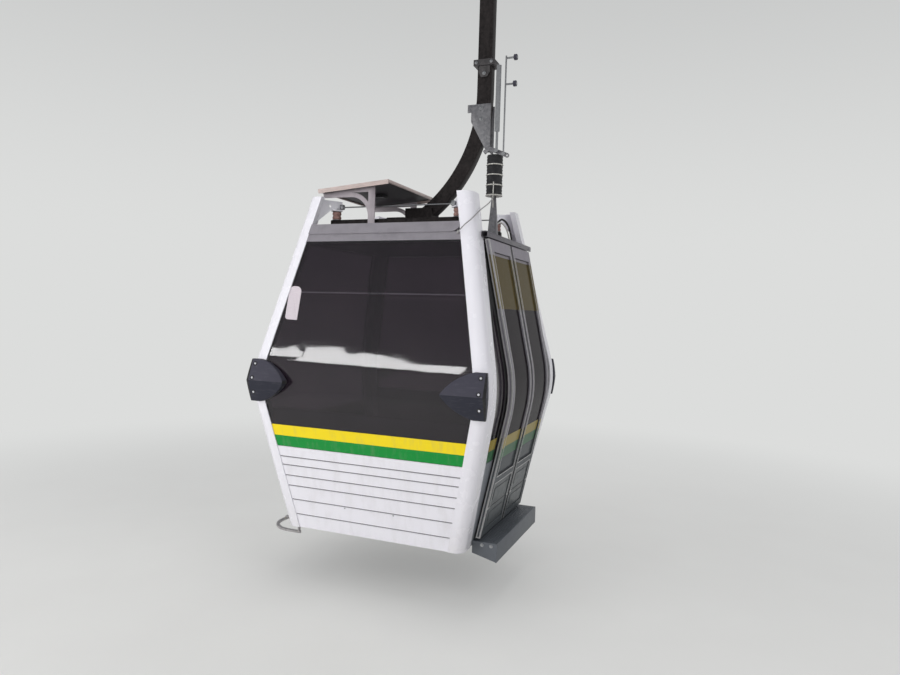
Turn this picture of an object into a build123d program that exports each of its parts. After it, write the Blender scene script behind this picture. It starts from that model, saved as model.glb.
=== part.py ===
"""A detachable cable car cabin with its hanger and its rope grip, in millimetres.

The cabin is drawn with z = 0 at its underside, and every piece is written out with the origin on
the rope's axis, at the middle of the grip's jaws. +X is the door side, +Y the way of travel, +Z up.
"""
import math
import os
from functools import lru_cache

from build123d import *

# Driving dimensions of the cabin
CABIN_WIDTH = 1900        # over the knees, which are the widest part
CABIN_LENGTH = 1830
KNEE_HEIGHT = 1110        # where all four sides bend
ROOF_HEIGHT = 2200        # joint between the two strips of each end header
KNEE_RADIUS = 900         # bend of the sides at the knee
SIDE_TUCKS = (240, 233)   # a side lies this far inside its knee at the underside and at the roof
END_TUCKS = (203, 253)    # and an end this far
POST_RISE = 290           # flat-cut tops of the posts over the roof height
ROPE_RISE = 2450          # rope's axis over the roof height
CORNER_RADIUS = 70        # rounded outer corner of each post
POST_END_WIDTH = 110      # post's flange on the end face
POST_SIDE_WIDTH = 155     # post's flange on the side face
WALL = 45                 # thickness of posts and lower panels
GLAZING = 12              # thickness of the windows
WINDOW_INSET = 10         # windows lie this far inside the posts' faces
PANEL_INSET = 6           # and the lower panels this far
JOINT_GAP = 0.3           # between pieces that seat on each other
SEAL_GAP = 3              # open joint over and under the windows

HALF_WIDTHS = (CABIN_WIDTH / 2 - SIDE_TUCKS[0], CABIN_WIDTH / 2, CABIN_WIDTH / 2 - SIDE_TUCKS[1])
HALF_LENGTHS = (CABIN_LENGTH / 2 - END_TUCKS[0], CABIN_LENGTH / 2, CABIN_LENGTH / 2 - END_TUCKS[1])
POST_HEIGHT = ROOF_HEIGHT + POST_RISE
ROPE_HEIGHT = ROOF_HEIGHT + ROPE_RISE

# Heights of the split lines on the sides
FLOOR_BOTTOM = 20
FLOOR_THICKNESS = 60
PANEL_BOTTOM = 2
PANEL_TOP = 624           # lower panel meets the window here, under the green stripe
SLAT_GROOVES = (104, 217, 324, 402, 482, 546)
GROOVE_HEIGHT = 9
GROOVE_DEPTH = 6
WINDOW_TOP = ROOF_HEIGHT - 60
HOPPER_SILL = WINDOW_TOP - 378  # lower edge of the hopper sash over each end window
HEADER_RISE = 72          # upper header strip stands this far over the roof height
HEADER_PROUD = 8          # and this far outside the lower strip
HEADER_RUNNER = 66        # its lower corner on the door side curls up with this radius
ROOF_TOP = ROOF_HEIGHT - 15
ROOF_THICKNESS = 35
ROOF_RIBS = (-330, 0, 330)
ROOF_RIB_WIDTH = 60
ROOF_RIB_HEIGHT = 10

# Heads of the posts: diagonal plates that stand on the frame's rubber mounts
HEAD_THICKNESS = 12
HEAD_REACH = 192          # from the post's inner corner to the plate's tip
HEAD_TOP = 8              # plate's upper edge under the post's top
HEAD_FALL = 10            # fall of that edge toward the tip
HEAD_TIP = 84             # lower edge of the tip under the post's top
HEAD_HAUNCH = 108         # where the lower edge starts to slope down to the post
HEAD_FOOT = 250           # lowest point, on the post
HEAD_ROOT = 22            # plate runs this far into the post's wall
HEAD_SEAT = 76            # square seat under the tip
HEAD_SEAT_THICKNESS = 8
HEAD_SEAT_PLACE = 152     # seat's middle from the post's inner corner
HEAD_HOLE = 9

# Guide rail round the foot of the closed side
GUIDE_X = -900
GUIDE_END_X = -610
GUIDE_HALF_LENGTH = 695
GUIDE_BEND = 190
GUIDE_WIDTH = 24
GUIDE_HEIGHT = 16
GUIDE_DROP = 50           # underside of the rail under the cabin's underside
GUIDE_ARMS = (-430, 0, 430)
GUIDE_ARM_WIDTH = 60
GUIDE_ARM_THICKNESS = 8
GUIDE_ARM_INNER = -560
GUIDE_HANGER = 10         # thickness of the upright at each end of the rail

# Benches across both ends
BENCH_HEIGHT = 430
BENCH_FRONT = 365         # front edge of the seat, from the cabin's middle
BENCH_SETBACK = 70        # the pedestal stands this far behind that edge
BENCH_THICKNESS = 60
BACKREST = 30
BACKREST_HEIGHT = 400

# Bumpers on the posts at the knee
BUMPER_HALF_HEIGHT = 155
BUMPER_REACH = 345        # from the side's plane to the tip
BUMPER_SHOULDER = 120     # full height up to here, then both edges curve in to the tip
BUMPER_CURVE = (0.57, 0.64)  # middle of the curve: share of its run, share of the half height left
BUMPER_THICKNESS = 40     # at the ridge
BUMPER_EDGE = 22          # thickness at the upper and lower edge
BUMPER_SIDE_INSET = 3     # stays behind the side's plane, where the leaves pass
BUMPER_CORNER = 45
BUMPER_TIP_RADIUS = 22

# Doors: two leaves that slide outside the body, one to each end
DOORWAY_LAP = 13          # the opening reaches this far over the posts' flanges at the roof
LEAF_LAP = 11             # edge of the shut leaf short of the doorway's edge
LEAF_MEETING_GAP = 8      # between the rubber noses of the shut leaves
LEAF_NOSE = 22            # width of each rubber nose
LEAF_NOSE_THICKNESS = 18
LEAF_TRAVEL = 400
LEAF_CLEARANCE = 9        # between a leaf and the body's side
LEAF_THICKNESS = 32
LEAF_BOTTOM = 60
LEAF_TOP = ROOF_HEIGHT - 35
LEAF_STILE = 55
LEAF_TOP_RAIL = 85
LEAF_GLASS_BOTTOM = 500
LEAF_GLASS = 8
LEAF_PANEL_RECESS = 6     # the lower panel lies this far behind the stiles' face
LEAF_PANEL_SEAM = 272     # height of the groove across the lower panel
LEAF_FIELD = 45           # raised fields of the lower panel start this far inside its edge
DOORWAY_HALF = HALF_LENGTHS[2] - POST_SIDE_WIDTH + DOORWAY_LAP
LEAF_WIDTH = DOORWAY_HALF - LEAF_LAP - LEAF_MEETING_GAP / 2

# Rail over the leaves, and the carriage of each leaf
RAIL_DEPTH = 46
RAIL_HEIGHT = 42
RAIL_WALL = 4
RAIL_SLOT = 16
RAIL_OVER_LEAF = 8
ROLLER_RADIUS = 13
ROLLER_LENGTH = 30
STEM_THICKNESS = 6
STEM_LAP = 20             # stem reaches this far down into the leaf
STEM_HEAD = 4             # and this far over the rollers' axis
CARRIAGE_START = 42       # from the cabin's middle
CARRIAGE_LENGTH = 100
RAIL_END = 16             # rail past the roller of an open leaf
RAIL_HALF_LENGTH = CARRIAGE_START + CARRIAGE_LENGTH + LEAF_TRAVEL + RAIL_END

# Step board under the doorway
SILL_TOP = 42
SILL_REACH = 185          # outer edge past the side's plane at the underside
SILL_DROP = 90            # its fascia hangs this far under the cabin's underside
SILL_SHEET = 12
SILL_LIP = 60             # lip under the floor pan
SILL_FLOOR_GAP = 4

# Hanger, placed by the cabin's own axes
HANGER_X = HALF_WIDTHS[2] - 192  # axis of the upright tube
HANGER_WIDTH = 112
HANGER_DEPTH = 80
BEND_RADIUS = 1130        # sweep of the tube to the roof's middle
HUB_RADIUS = 62
HUB_LENGTH = 130
PIN_RADIUS = 26
PIN_FIT = 0.3
FOOT_X = (-100, 130)      # box on the frame that the tube is welded into
FOOT_DEPTH = 150
FOOT_HEIGHT = 125
TUBE_FOOT = (30, 60)      # end of the tube's axis: x, and height over the frame
COLLAR_RISE = 1332        # underside of the collar over the roof height
COLLAR_HEIGHT = 45
COLLAR_LIP = 26
WEDGE_DROPS = (48, 84)    # straight part and tapered part of the wedge plates under the collar
WEDGE_HALF_WIDTHS = (46, 24)  # at the collar and at the lower end
WEDGE_THICKNESS = 9
GUSSET_RISE = 1045        # upper edge of the gussets over the roof height
GUSSET_THICKNESS = 10
GUSSET_FOOT = 34
GUSSET_LEFT = 125         # gusset's edges from the tube's axis
GUSSET_RIGHT = 63
GUSSET_EAR = 30           # folded ear at the upper corner: width
GUSSET_EAR_HEIGHT = 60
GUSSET_STRAIGHT = 130     # the edge slopes from this far under the top

# Door gear, placed from the tube's axis and the roof height
LEVER_PIVOT = (HANGER_X + 58, ROOF_HEIGHT + 702)
LEVER_TIP = (HANGER_X + 206, ROOF_HEIGHT + 640)
LEVER_FOOT = (HANGER_X + 31, ROOF_HEIGHT + 674)
LEVER_EYE = 17
LEVER_HOLE = 7
LEVER_THICKNESS = 12
PUSH_TUBE_X = HANGER_X + 130
PUSH_TUBE_RADIUS = 19
PUSH_TUBE_RISES = (818, 1308)
PUSH_ROD_X = HANGER_X + 181
PUSH_ROD_RADIUS = 6
PUSH_ROD_RISE = 1378
PUSH_EYE = 14             # thickness of the rods' eyes
EYE_RADIUS = 14
ROLLER_ARM_RISES = (1360, 1166)
ROLLER_ARM_LENGTH = 80
ROLLER_ARM_RADIUS = 7
ROLLER_HEAD = (22, 26)    # radius and length
BELLOWS_X = HANGER_X + 93
BELLOWS_RISES = (350, 660)  # lowest ring and upper end over the roof height
BELLOWS_FOLDS = 4
BELLOWS_RADIUS = 60
BELLOWS_RING = 8
BELLOWS_RING_RADIUS = 67
STAND_BASE = (90, 70, 12)
STAND_FOOT = (80, 56)
STAND_HEAD = (34, 30)

# Release cable from the bellows round the near post to the front header
CABLE_RADIUS = 4
CABLE_BEND = 25
CABLE_CLEARANCE = 18      # between the cable's axis and the post it is led round
CABLE_SIDE_RISE = 165     # over the roof height, where it passes the post's side
CABLE_END_DROP = 12       # and its end under the roof height
CABLE_FERRULE = (7, 14)   # radius and length

# Suspension frame under the heads of the posts
FRAME_TUBE = 70           # square section of the two cross tubes
FRAME_BEAM_WIDTH = 150
FRAME_BEAM_HEIGHT = 83
RUBBER_RADIUS = 35
RUBBER_HEIGHT = 69
TIE_RADIUS = 5
TIE_DROP = 62             # tie rod's axis under the posts' tops

# Solar panel over the closed side
SOLAR_WIDTH = 600
SOLAR_Y = (-565, 285)
SOLAR_RISE = 378          # underside at the panel's high edge, which is at x = 0
SOLAR_TILT = 4.7
SOLAR_THICKNESS = 22
SOLAR_ARM_RISE = 292      # lower edge of the brackets' arms
SOLAR_ARM_END = 12        # arm ends this far inside the panel's edges
SOLAR_SHEET = 8
SOLAR_POST_X = -195
SOLAR_POST_WIDTH = 55
SOLAR_ARCH = 150
SOLAR_ARCH_BAND = 34      # width of the bracket's quarter arch
SOLAR_BRACKET_SETBACK = 60

# Grip, placed from the rope's axis
ROPE_RADIUS = 23
JAW_LENGTH = 280
JAW_SPLIT = 2             # each jaw ends this far from the rope's upright plane
JAW_WIDTH = 62
JAW_DROP = 12             # the jaws leave the rope's underside free
JAW_NOSE = 24             # bevel of the jaws' outer edges, where they pass the towers' rollers
JAW_HEAD = 60             # the moving jaw is full length up to here
JAW_NECK = 60             # and half this long above
GRIP_BEAM = (72, 142)     # lower and upper face of the beam over the rope
GRIP_BEAM_DEPTH = 130
LUG_THICKNESS = 28
LUG_SIDE_GAP = 6
WHEEL_RADIUS = 85
WHEEL_WIDTH = 42
WHEEL_X = (HANGER_X - 330, HANGER_X + 130)
WHEEL_GAP = 8             # between a wheel and the beam under it
WHEEL_HUB = 30
WHEEL_DISH = 12           # web lies this far inside the rim's faces
WHEEL_RIM = 17
AXLE_RADIUS = 16
AXLE_END = 18             # axle past the wheels' outer faces
STAND_X = (HANGER_X - 245, HANGER_X + 45)
STAND_THICKNESS = 34
STAND_DEPTH = 90
DRIVE_PLATE_X = (HANGER_X - 405, HANGER_X + 195)
DRIVE_PLATE_HALF = 190
DRIVE_PLATE_THICKNESS = 12
DRIVE_PLATE_GAP = 12      # over the wheels
SPRING_X = HANGER_X - 100
SPRING_Y = 44
SPRING_RADIUS = 26
GRIP_LEVER = (180, 28, 34)  # length past the jaw, width and height
GRIP_ROLLER = (40, 45)    # radius and width

REACH = 2000              # past every side of the cabin


def write(name, shape):
    """Writes one piece with the origin moved to the rope's axis."""
    moved = [Pos(0, 0, -ROPE_HEIGHT) * solid for solid in shape.solids()]
    export_step(moved[0] if len(moved) == 1 else Compound(children=moved), f"parts/{name}.step")


def group(shapes):
    """Like pieces of one node as one compound of solids."""
    return Compound(children=[solid for shape in shapes for solid in shape.solids()])


def block(x, y, z):
    """Box from three (low, high) pairs."""
    size = [pair[1] - pair[0] for pair in (x, y, z)]
    centre = [(pair[1] + pair[0]) / 2 for pair in (x, y, z)]
    return Pos(*centre) * Box(*size)


def rod(start, end, radius):
    """Round bar between two points."""
    axis = Vector(*end) - Vector(*start)
    return extrude(Plane(origin=start, z_dir=axis) * Circle(radius), axis.length)


def plate(points, y, thickness):
    """Upright plate from an outline in x and z, from `y` away to the front."""
    return Pos(0, y, 0) * extrude(Plane.XZ * make_face(Polyline(*points, close=True)), thickness)


def half_at(halves, height):
    """Half width or half length at a height, on the straight stretches of the outline."""
    low, knee, roof = halves
    if height < KNEE_HEIGHT:
        return low + (knee - low) * height / KNEE_HEIGHT
    return knee + (roof - knee) * (height - KNEE_HEIGHT) / (ROOF_HEIGHT - KNEE_HEIGHT)


@lru_cache
def bent_slab(plane_name, inset):
    """Everything between one pair of opposite sides, each set in by `inset`."""
    plane, halves = {"width": (Plane.XZ, HALF_WIDTHS), "length": (Plane.YZ, HALF_LENGTHS)}[plane_name]
    points = [(half_at(halves, z) - inset, z) for z in (0, KNEE_HEIGHT, POST_HEIGHT)]
    side = FilletPolyline(*points, radius=KNEE_RADIUS)
    (bottom, low), (top, high) = points[0], points[-1]
    outline = side + mirror(side, about=Plane.YZ)
    outline += Line((bottom, low), (-bottom, low))
    outline += Line((top, high), (-top, high))
    return extrude(plane * make_face(outline), REACH, both=True)


def widths(inset):
    return bent_slab("width", inset)


def lengths(inset):
    return bent_slab("length", inset)


def between(low, high, x=(-REACH, REACH), y=(-REACH, REACH)):
    """Slice of space from height `low` to height `high`."""
    return block(x, y, (low, high))


FRONT = {"y": (-REACH, 0)}
REAR = {"y": (0, REACH)}
LEFT = {"x": (-REACH, 0)}
RIGHT = {"x": (0, REACH)}
ENDS = (("front", FRONT), ("rear", REAR))
# end's name, its half of space and sign, side's name, its half of space and sign
CORNERS = (("front", FRONT, -1, "left", LEFT, -1), ("front", FRONT, -1, "right", RIGHT, 1),
           ("rear", REAR, 1, "left", LEFT, -1), ("rear", REAR, 1, "right", RIGHT, 1))


def end_sheet(inset, thickness, low, high, side):
    """Bent sheet on an end face, between the posts."""
    sheet = lengths(inset) - lengths(inset + thickness)
    return sheet & widths(POST_END_WIDTH + JOINT_GAP) & between(low, high, **side)


def side_sheet(inset, thickness, low, high, side):
    """Bent sheet on a side face, between the posts."""
    sheet = widths(inset) - widths(inset + thickness)
    return sheet & lengths(POST_SIDE_WIDTH + JOINT_GAP) & between(low, high, **side)


def groove_cut(slab, inset, heights=SLAT_GROOVES):
    """Horizontal grooves across the skin of a lower panel."""
    skin = slab(inset - 1) - slab(inset + GROOVE_DEPTH)
    return group(skin & between(z - GROOVE_HEIGHT / 2, z + GROOVE_HEIGHT / 2) for z in heights)


def post_head(end_sign, side_sign):
    """Diagonal plate inside a post's top, with the seat under its tip and the tie rod's hole."""
    corner = (half_at(HALF_WIDTHS, POST_HEIGHT) - WALL, half_at(HALF_LENGTHS, POST_HEIGHT) - WALL)
    origin = (side_sign * corner[0], end_sign * corner[1], POST_HEIGHT)
    inward = Vector(-side_sign, -end_sign, 0).normalized()
    plane = Plane(origin=origin, x_dir=inward, z_dir=inward.cross(Vector(0, 0, 1)))
    lean = math.hypot(half_at(HALF_WIDTHS, POST_HEIGHT - HEAD_FOOT) - WALL - corner[0],
                      half_at(HALF_LENGTHS, POST_HEIGHT - HEAD_FOOT) - WALL - corner[1])
    outline = [
        (-HEAD_ROOT, -HEAD_TOP), (HEAD_REACH, -HEAD_TOP - HEAD_FALL), (HEAD_REACH, -HEAD_TIP),
        (HEAD_HAUNCH, -HEAD_TIP), (-lean, -HEAD_FOOT), (-lean - HEAD_ROOT, -HEAD_FOOT),
    ]
    sheet = make_face(Polyline(*outline, close=True))
    sheet -= Pos(HEAD_HAUNCH - HEAD_HOLE, -HEAD_TIP + 3 * HEAD_HOLE) * Circle(HEAD_HOLE)
    head = extrude(plane * sheet, HEAD_THICKNESS / 2, both=True)
    seat = Pos(HEAD_SEAT_PLACE, -HEAD_TIP - HEAD_SEAT_THICKNESS / 2, 0)
    return head + plane * seat * Box(HEAD_SEAT, HEAD_SEAT_THICKNESS, HEAD_SEAT)


def seat_places():
    """Middle of each post head's seat, as (x, y)."""
    step = HEAD_SEAT_PLACE / math.sqrt(2)
    x = half_at(HALF_WIDTHS, POST_HEIGHT) - WALL - step
    y = half_at(HALF_LENGTHS, POST_HEIGHT) - WALL - step
    return [(side_sign * x, end_sign * y) for *_, end_sign, _, _, side_sign in CORNERS]


def rounded_body():
    """The cabin's bent outline with its four upright corners rounded."""
    body = widths(0) & lengths(0)
    corner_edges = [
        edge for edge in body.edges()
        if abs(edge.center().X) > HALF_WIDTHS[0] / 2
        and abs(edge.center().Y) > HALF_LENGTHS[0] / 2
        and abs(edge.tangent_at(0.5).Z) > 0.5
    ]
    return fillet(corner_edges, CORNER_RADIUS)


def corner_posts():
    """Four bent angle posts with rounded outer corners and a plate inside each top."""
    ring = rounded_body() - (widths(WALL) & lengths(WALL))
    ring = ring - widths(POST_END_WIDTH) - lengths(POST_SIDE_WIDTH)
    for end_name, end, end_sign, side_name, side, side_sign in CORNERS:
        post = ring & between(0, POST_HEIGHT, **end, **side)
        write(f"corner_post_{end_name}_{side_name}", post + post_head(end_sign, side_sign))


def corner_bumpers():
    """Plastic bumpers across the posts at the knee, ridged and tapering toward the window."""
    edge = CABIN_WIDTH / 2
    shoulder = edge - BUMPER_SHOULDER
    tip = edge - BUMPER_REACH
    run, left = BUMPER_CURVE
    high = BUMPER_HALF_HEIGHT
    middle = (shoulder - run * (shoulder - tip), left * high)
    outline = Line((edge + 1, 0), (edge + 1, high)) + Line((edge + 1, high), (shoulder, high))
    outline += ThreePointArc((shoulder, high), middle, (tip, 0))
    outline += mirror(outline, about=Plane.XZ)
    face = make_face(outline)
    face = fillet(face.vertices().group_by(Axis.X)[0], BUMPER_TIP_RADIUS)
    face = fillet(face.vertices().group_by(Axis.X)[-1], BUMPER_CORNER)
    form = extrude(Plane.XZ * face, REACH)
    bumpers = []
    for _, _, end_sign, _, _, side_sign in CORNERS:
        ridge = CABIN_LENGTH / 2 + BUMPER_THICKNESS
        brow = half_at(HALF_LENGTHS, KNEE_HEIGHT + BUMPER_HALF_HEIGHT) + BUMPER_EDGE
        chin = half_at(HALF_LENGTHS, KNEE_HEIGHT - BUMPER_HALF_HEIGHT) + BUMPER_EDGE
        section = [(0, BUMPER_HALF_HEIGHT), (brow, BUMPER_HALF_HEIGHT), (ridge, 0),
                   (chin, -BUMPER_HALF_HEIGHT), (0, -BUMPER_HALF_HEIGHT)]
        body = extrude(Plane.YZ * make_face(Polyline(*section, close=True)), edge)
        upright = [e for e in body.edges() if e.center().X > edge - 1 and e.center().Y > ridge / 2]
        body = fillet([e for e in upright if abs(e.tangent_at(0.5).Z) > 0.5], BUMPER_CORNER)
        body = body & mirror(form, about=Plane.XZ)
        body = Pos(0, 0, KNEE_HEIGHT) * body
        if end_sign < 0:
            body = mirror(body, about=Plane.XZ)
        if side_sign < 0:
            body = mirror(body, about=Plane.YZ)
        bumpers.append((body & widths(BUMPER_SIDE_INSET)) - (widths(-JOINT_GAP) & lengths(-JOINT_GAP)))
    write("corner_bumpers", group(bumpers))


def ends():
    """Window with its hopper sash, lower slatted panel and two-strip header of both end faces."""
    headers = []
    for name, side in ENDS:
        pane = end_sheet(WINDOW_INSET, GLAZING, PANEL_TOP + SEAL_GAP, HOPPER_SILL, side)
        sash = end_sheet(WINDOW_INSET, GLAZING, HOPPER_SILL + SEAL_GAP, WINDOW_TOP, side)
        write(f"end_window_{name}", group([pane, sash]))
        panel = end_sheet(PANEL_INSET, WALL, PANEL_BOTTOM, PANEL_TOP, side)
        write(f"end_panel_{name}", panel - groove_cut(lengths, PANEL_INSET))
        strip = end_sheet(0, WALL, WINDOW_TOP + SEAL_GAP, ROOF_HEIGHT, side)
        upper = end_sheet(-HEADER_PROUD, WALL, ROOF_HEIGHT - 1, ROOF_HEIGHT + HEADER_RISE, side)
        edge = half_at(HALF_WIDTHS, ROOF_HEIGHT) - POST_END_WIDTH
        centre_x, centre_z = edge - HEADER_RUNNER, ROOF_HEIGHT + HEADER_RUNNER
        corner = block((centre_x, edge + 1), (-REACH, REACH), (ROOF_HEIGHT - 1, centre_z))
        runner = rod((centre_x, -REACH, centre_z), (centre_x, REACH, centre_z), HEADER_RUNNER)
        headers.append(strip + (upper - (corner - runner)))
    write("end_headers", group(headers))


def closed_side():
    """Window, lower panel and header of the side without doors."""
    write("side_window_left", side_sheet(WINDOW_INSET, GLAZING, PANEL_TOP + SEAL_GAP, WINDOW_TOP, LEFT))
    panel = side_sheet(PANEL_INSET, WALL, PANEL_BOTTOM, PANEL_TOP, LEFT)
    write("side_panel_left", panel - groove_cut(widths, PANEL_INSET))
    write("side_header_left", side_sheet(0, WALL, WINDOW_TOP + SEAL_GAP, ROOF_HEIGHT, LEFT))


def door_side():
    """Fixed strips beside the doorway and the header over it."""
    doorway = block((0, REACH), (-DOORWAY_HALF, DOORWAY_HALF), (0, POST_HEIGHT))
    glass = side_sheet(WINDOW_INSET, GLAZING, PANEL_TOP + SEAL_GAP, WINDOW_TOP, RIGHT)
    write("door_side_windows", glass - doorway)
    panel = side_sheet(PANEL_INSET, WALL, PANEL_BOTTOM, PANEL_TOP, RIGHT)
    write("door_side_panels", panel - doorway)
    write("door_header", side_sheet(0, WALL, WINDOW_TOP + SEAL_GAP, ROOF_HEIGHT, RIGHT))


def door_leaf(sign):
    """Frame, glass, lower panel and rubber nose of one leaf, `sign` -1 to the front, 1 to the rear."""
    meeting = LEAF_MEETING_GAP / 2
    near = meeting + LEAF_NOSE + JOINT_GAP
    far = meeting + LEAF_WIDTH
    inner = -LEAF_CLEARANCE
    outer = inner - LEAF_THICKNESS

    def layer(outer_inset, inner_inset, z, y):
        """Bent sheet of the leaf from height z[0] to z[1], over |y| from y[0] to y[1]."""
        sheet = widths(outer_inset) - widths(inner_inset)
        return sheet & between(*z, y=sorted(sign * value for value in y), **RIGHT)

    inside_y = (near + LEAF_STILE - LEAF_NOSE, far - LEAF_STILE)
    low_z = (LEAF_BOTTOM + LEAF_STILE, LEAF_GLASS_BOTTOM - LEAF_STILE)
    high_z = (LEAF_GLASS_BOTTOM, LEAF_TOP - LEAF_TOP_RAIL)
    frame = layer(outer, inner, (LEAF_BOTTOM, LEAF_TOP), (near, far))
    frame -= layer(outer - 1, inner + 1, high_z, inside_y)
    frame -= layer(outer - 1, inner + 1, low_z, inside_y)
    fit_y = (inside_y[0] + JOINT_GAP, inside_y[1] - JOINT_GAP)
    middle = (inner + outer) / 2
    glass_z = (high_z[0] + JOINT_GAP, high_z[1] - JOINT_GAP)
    glass = layer(middle - LEAF_GLASS / 2, middle + LEAF_GLASS / 2, glass_z, fit_y)
    panel_z = (low_z[0] + JOINT_GAP, low_z[1] - JOINT_GAP)
    face = outer + LEAF_PANEL_RECESS
    panel = layer(face, inner - LEAF_PANEL_RECESS, panel_z, fit_y)
    panel -= groove_cut(widths, face, [LEAF_PANEL_SEAM])
    field_y = (fit_y[0] + LEAF_FIELD, fit_y[1] - LEAF_FIELD)
    for low, high in ((panel_z[0], LEAF_PANEL_SEAM), (LEAF_PANEL_SEAM, panel_z[1])):
        panel += layer(face - LEAF_PANEL_RECESS / 2, face + 1, (low + LEAF_FIELD, high - LEAF_FIELD), field_y)
    nose = layer(middle - LEAF_NOSE_THICKNESS / 2, middle + LEAF_NOSE_THICKNESS / 2,
                 (LEAF_BOTTOM, LEAF_TOP), (meeting, near - JOINT_GAP))
    return frame, glass, panel, nose


def rail_centre():
    """Where the rail's channel is centred above the leaves: x and the height of its underside."""
    underside = LEAF_TOP + RAIL_OVER_LEAF
    return half_at(HALF_WIDTHS, underside) + JOINT_GAP + RAIL_DEPTH / 2, underside


def door_rail():
    """Channel open at the bottom, in which both leaves' rollers run."""
    x, z = rail_centre()
    ends = (-RAIL_HALF_LENGTH, RAIL_HALF_LENGTH)
    channel = block((x - RAIL_DEPTH / 2, x + RAIL_DEPTH / 2), ends, (z, z + RAIL_HEIGHT))
    upper_edges = channel.edges().filter_by(Axis.Y).group_by(Axis.Z)[-1].group_by(Axis.X)[-1]
    channel = fillet(upper_edges, RAIL_HEIGHT / 3)
    half = RAIL_DEPTH / 2 - RAIL_WALL
    channel -= block((x - half, x + half), ends, (z + RAIL_WALL, z + RAIL_HEIGHT - 2 * RAIL_WALL))
    return channel - block((x - RAIL_SLOT / 2, x + RAIL_SLOT / 2), ends, (z - 1, z + RAIL_WALL + 1))


def carriage(sign):
    """Stem and two rollers that hang a leaf in the rail, near the leaf's meeting stile."""
    x, z = rail_centre()
    roller_z = z + RAIL_WALL + JOINT_GAP + ROLLER_RADIUS
    near = sign * CARRIAGE_START
    far = sign * (CARRIAGE_START + CARRIAGE_LENGTH)
    stem = block((x - STEM_THICKNESS / 2, x + STEM_THICKNESS / 2), sorted((near, far)),
                 (LEAF_TOP - STEM_LAP, roller_z + STEM_HEAD))
    half = ROLLER_LENGTH / 2
    for roller_y in (near + sign * ROLLER_RADIUS, far - sign * ROLLER_RADIUS):
        stem += rod((x - half, roller_y, roller_z), (x + half, roller_y, roller_z), ROLLER_RADIUS)
    return stem


def sill():
    """Step board: a tread with a lip under the floor pan, a hanging fascia and closed ends."""
    outer = HALF_WIDTHS[0] + SILL_REACH
    floor_edge = half_at(HALF_WIDTHS, SILL_TOP) - PANEL_INSET - WALL + SILL_FLOOR_GAP
    under_floor = FLOOR_BOTTOM - JOINT_GAP
    lip = floor_edge - SILL_LIP
    profile = [
        (lip, under_floor - SILL_SHEET), (lip, under_floor), (floor_edge, under_floor),
        (floor_edge, SILL_TOP), (outer, SILL_TOP), (outer, -SILL_DROP), (outer - SILL_SHEET, -SILL_DROP),
        (outer - SILL_SHEET, SILL_TOP - SILL_SHEET), (floor_edge + SILL_SHEET, SILL_TOP - SILL_SHEET),
        (floor_edge + SILL_SHEET, under_floor - SILL_SHEET),
    ]
    half = DOORWAY_HALF - JOINT_GAP
    board = plate(profile, half, 2 * half)
    side = HALF_WIDTHS[0] + JOINT_GAP
    cheek = [(side, SILL_TOP - 1), (outer - 1, SILL_TOP - 1), (outer - 1, -SILL_DROP), (side, -SILL_DROP / 2)]
    for y in (half, -half + SILL_SHEET):
        board += plate(cheek, y, SILL_SHEET)
    return board


def doors():
    """Both leaves, the rail over them and the step board under them."""
    for (name, _), sign in zip(ENDS, (-1, 1)):
        frame, glass, panel, nose = door_leaf(sign)
        write(f"door_{name}_frame", frame + carriage(sign))
        write(f"door_{name}_glass", glass)
        write(f"door_{name}_panel", panel)
        write(f"door_{name}_nose", nose)
    write("door_rail", door_rail())
    write("door_sill", sill())


def guide_rail():
    """Flat rail bent round the foot of the closed side, on arms from the floor pan."""
    y = GUIDE_HALF_LENGTH
    path = FilletPolyline((GUIDE_END_X, -y), (GUIDE_X, -y), (GUIDE_X, y), (GUIDE_END_X, y), radius=GUIDE_BEND)
    half = GUIDE_WIDTH / 2
    outline = offset(path, amount=half, side=Side.BOTH)
    base = -GUIDE_DROP
    rail = Pos(0, 0, base) * extrude(make_face(outline), GUIDE_HEIGHT)
    top = base + GUIDE_HEIGHT
    arm_top = top + GUIDE_ARM_THICKNESS
    for arm_y in GUIDE_ARMS:
        span = (arm_y - GUIDE_ARM_WIDTH / 2, arm_y + GUIDE_ARM_WIDTH / 2)
        rail += block((GUIDE_X - half, GUIDE_ARM_INNER), span, (top, arm_top))
        rail += block((GUIDE_ARM_INNER - GUIDE_ARM_THICKNESS, GUIDE_ARM_INNER), span,
                      (top, FLOOR_BOTTOM - JOINT_GAP))
    for sign in (-1, 1):
        span = sorted((sign * (y - half), sign * (y + half)))
        rail += block((GUIDE_END_X - GUIDE_HANGER, GUIDE_END_X), span, (base, -JOINT_GAP))
    return rail


def floor_and_roof():
    """Floor pan, ribbed roof panel and the guide rail under the cabin."""
    inside = PANEL_INSET + WALL + JOINT_GAP
    shaft = widths(inside) & lengths(inside)
    write("floor_pan", shaft & between(FLOOR_BOTTOM, FLOOR_BOTTOM + FLOOR_THICKNESS))
    shaft = widths(WALL + JOINT_GAP) & lengths(WALL + JOINT_GAP)
    roof = shaft & between(ROOF_TOP - ROOF_THICKNESS, ROOF_TOP)
    rib_x = half_at(HALF_WIDTHS, ROOF_TOP) - POST_SIDE_WIDTH
    for y in ROOF_RIBS:
        roof += block((-rib_x, HANGER_X), (y - ROOF_RIB_WIDTH / 2, y + ROOF_RIB_WIDTH / 2),
                      (ROOF_TOP - 1, ROOF_TOP + ROOF_RIB_HEIGHT))
    write("roof_panel", roof)
    write("guide_skid", guide_rail())


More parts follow.
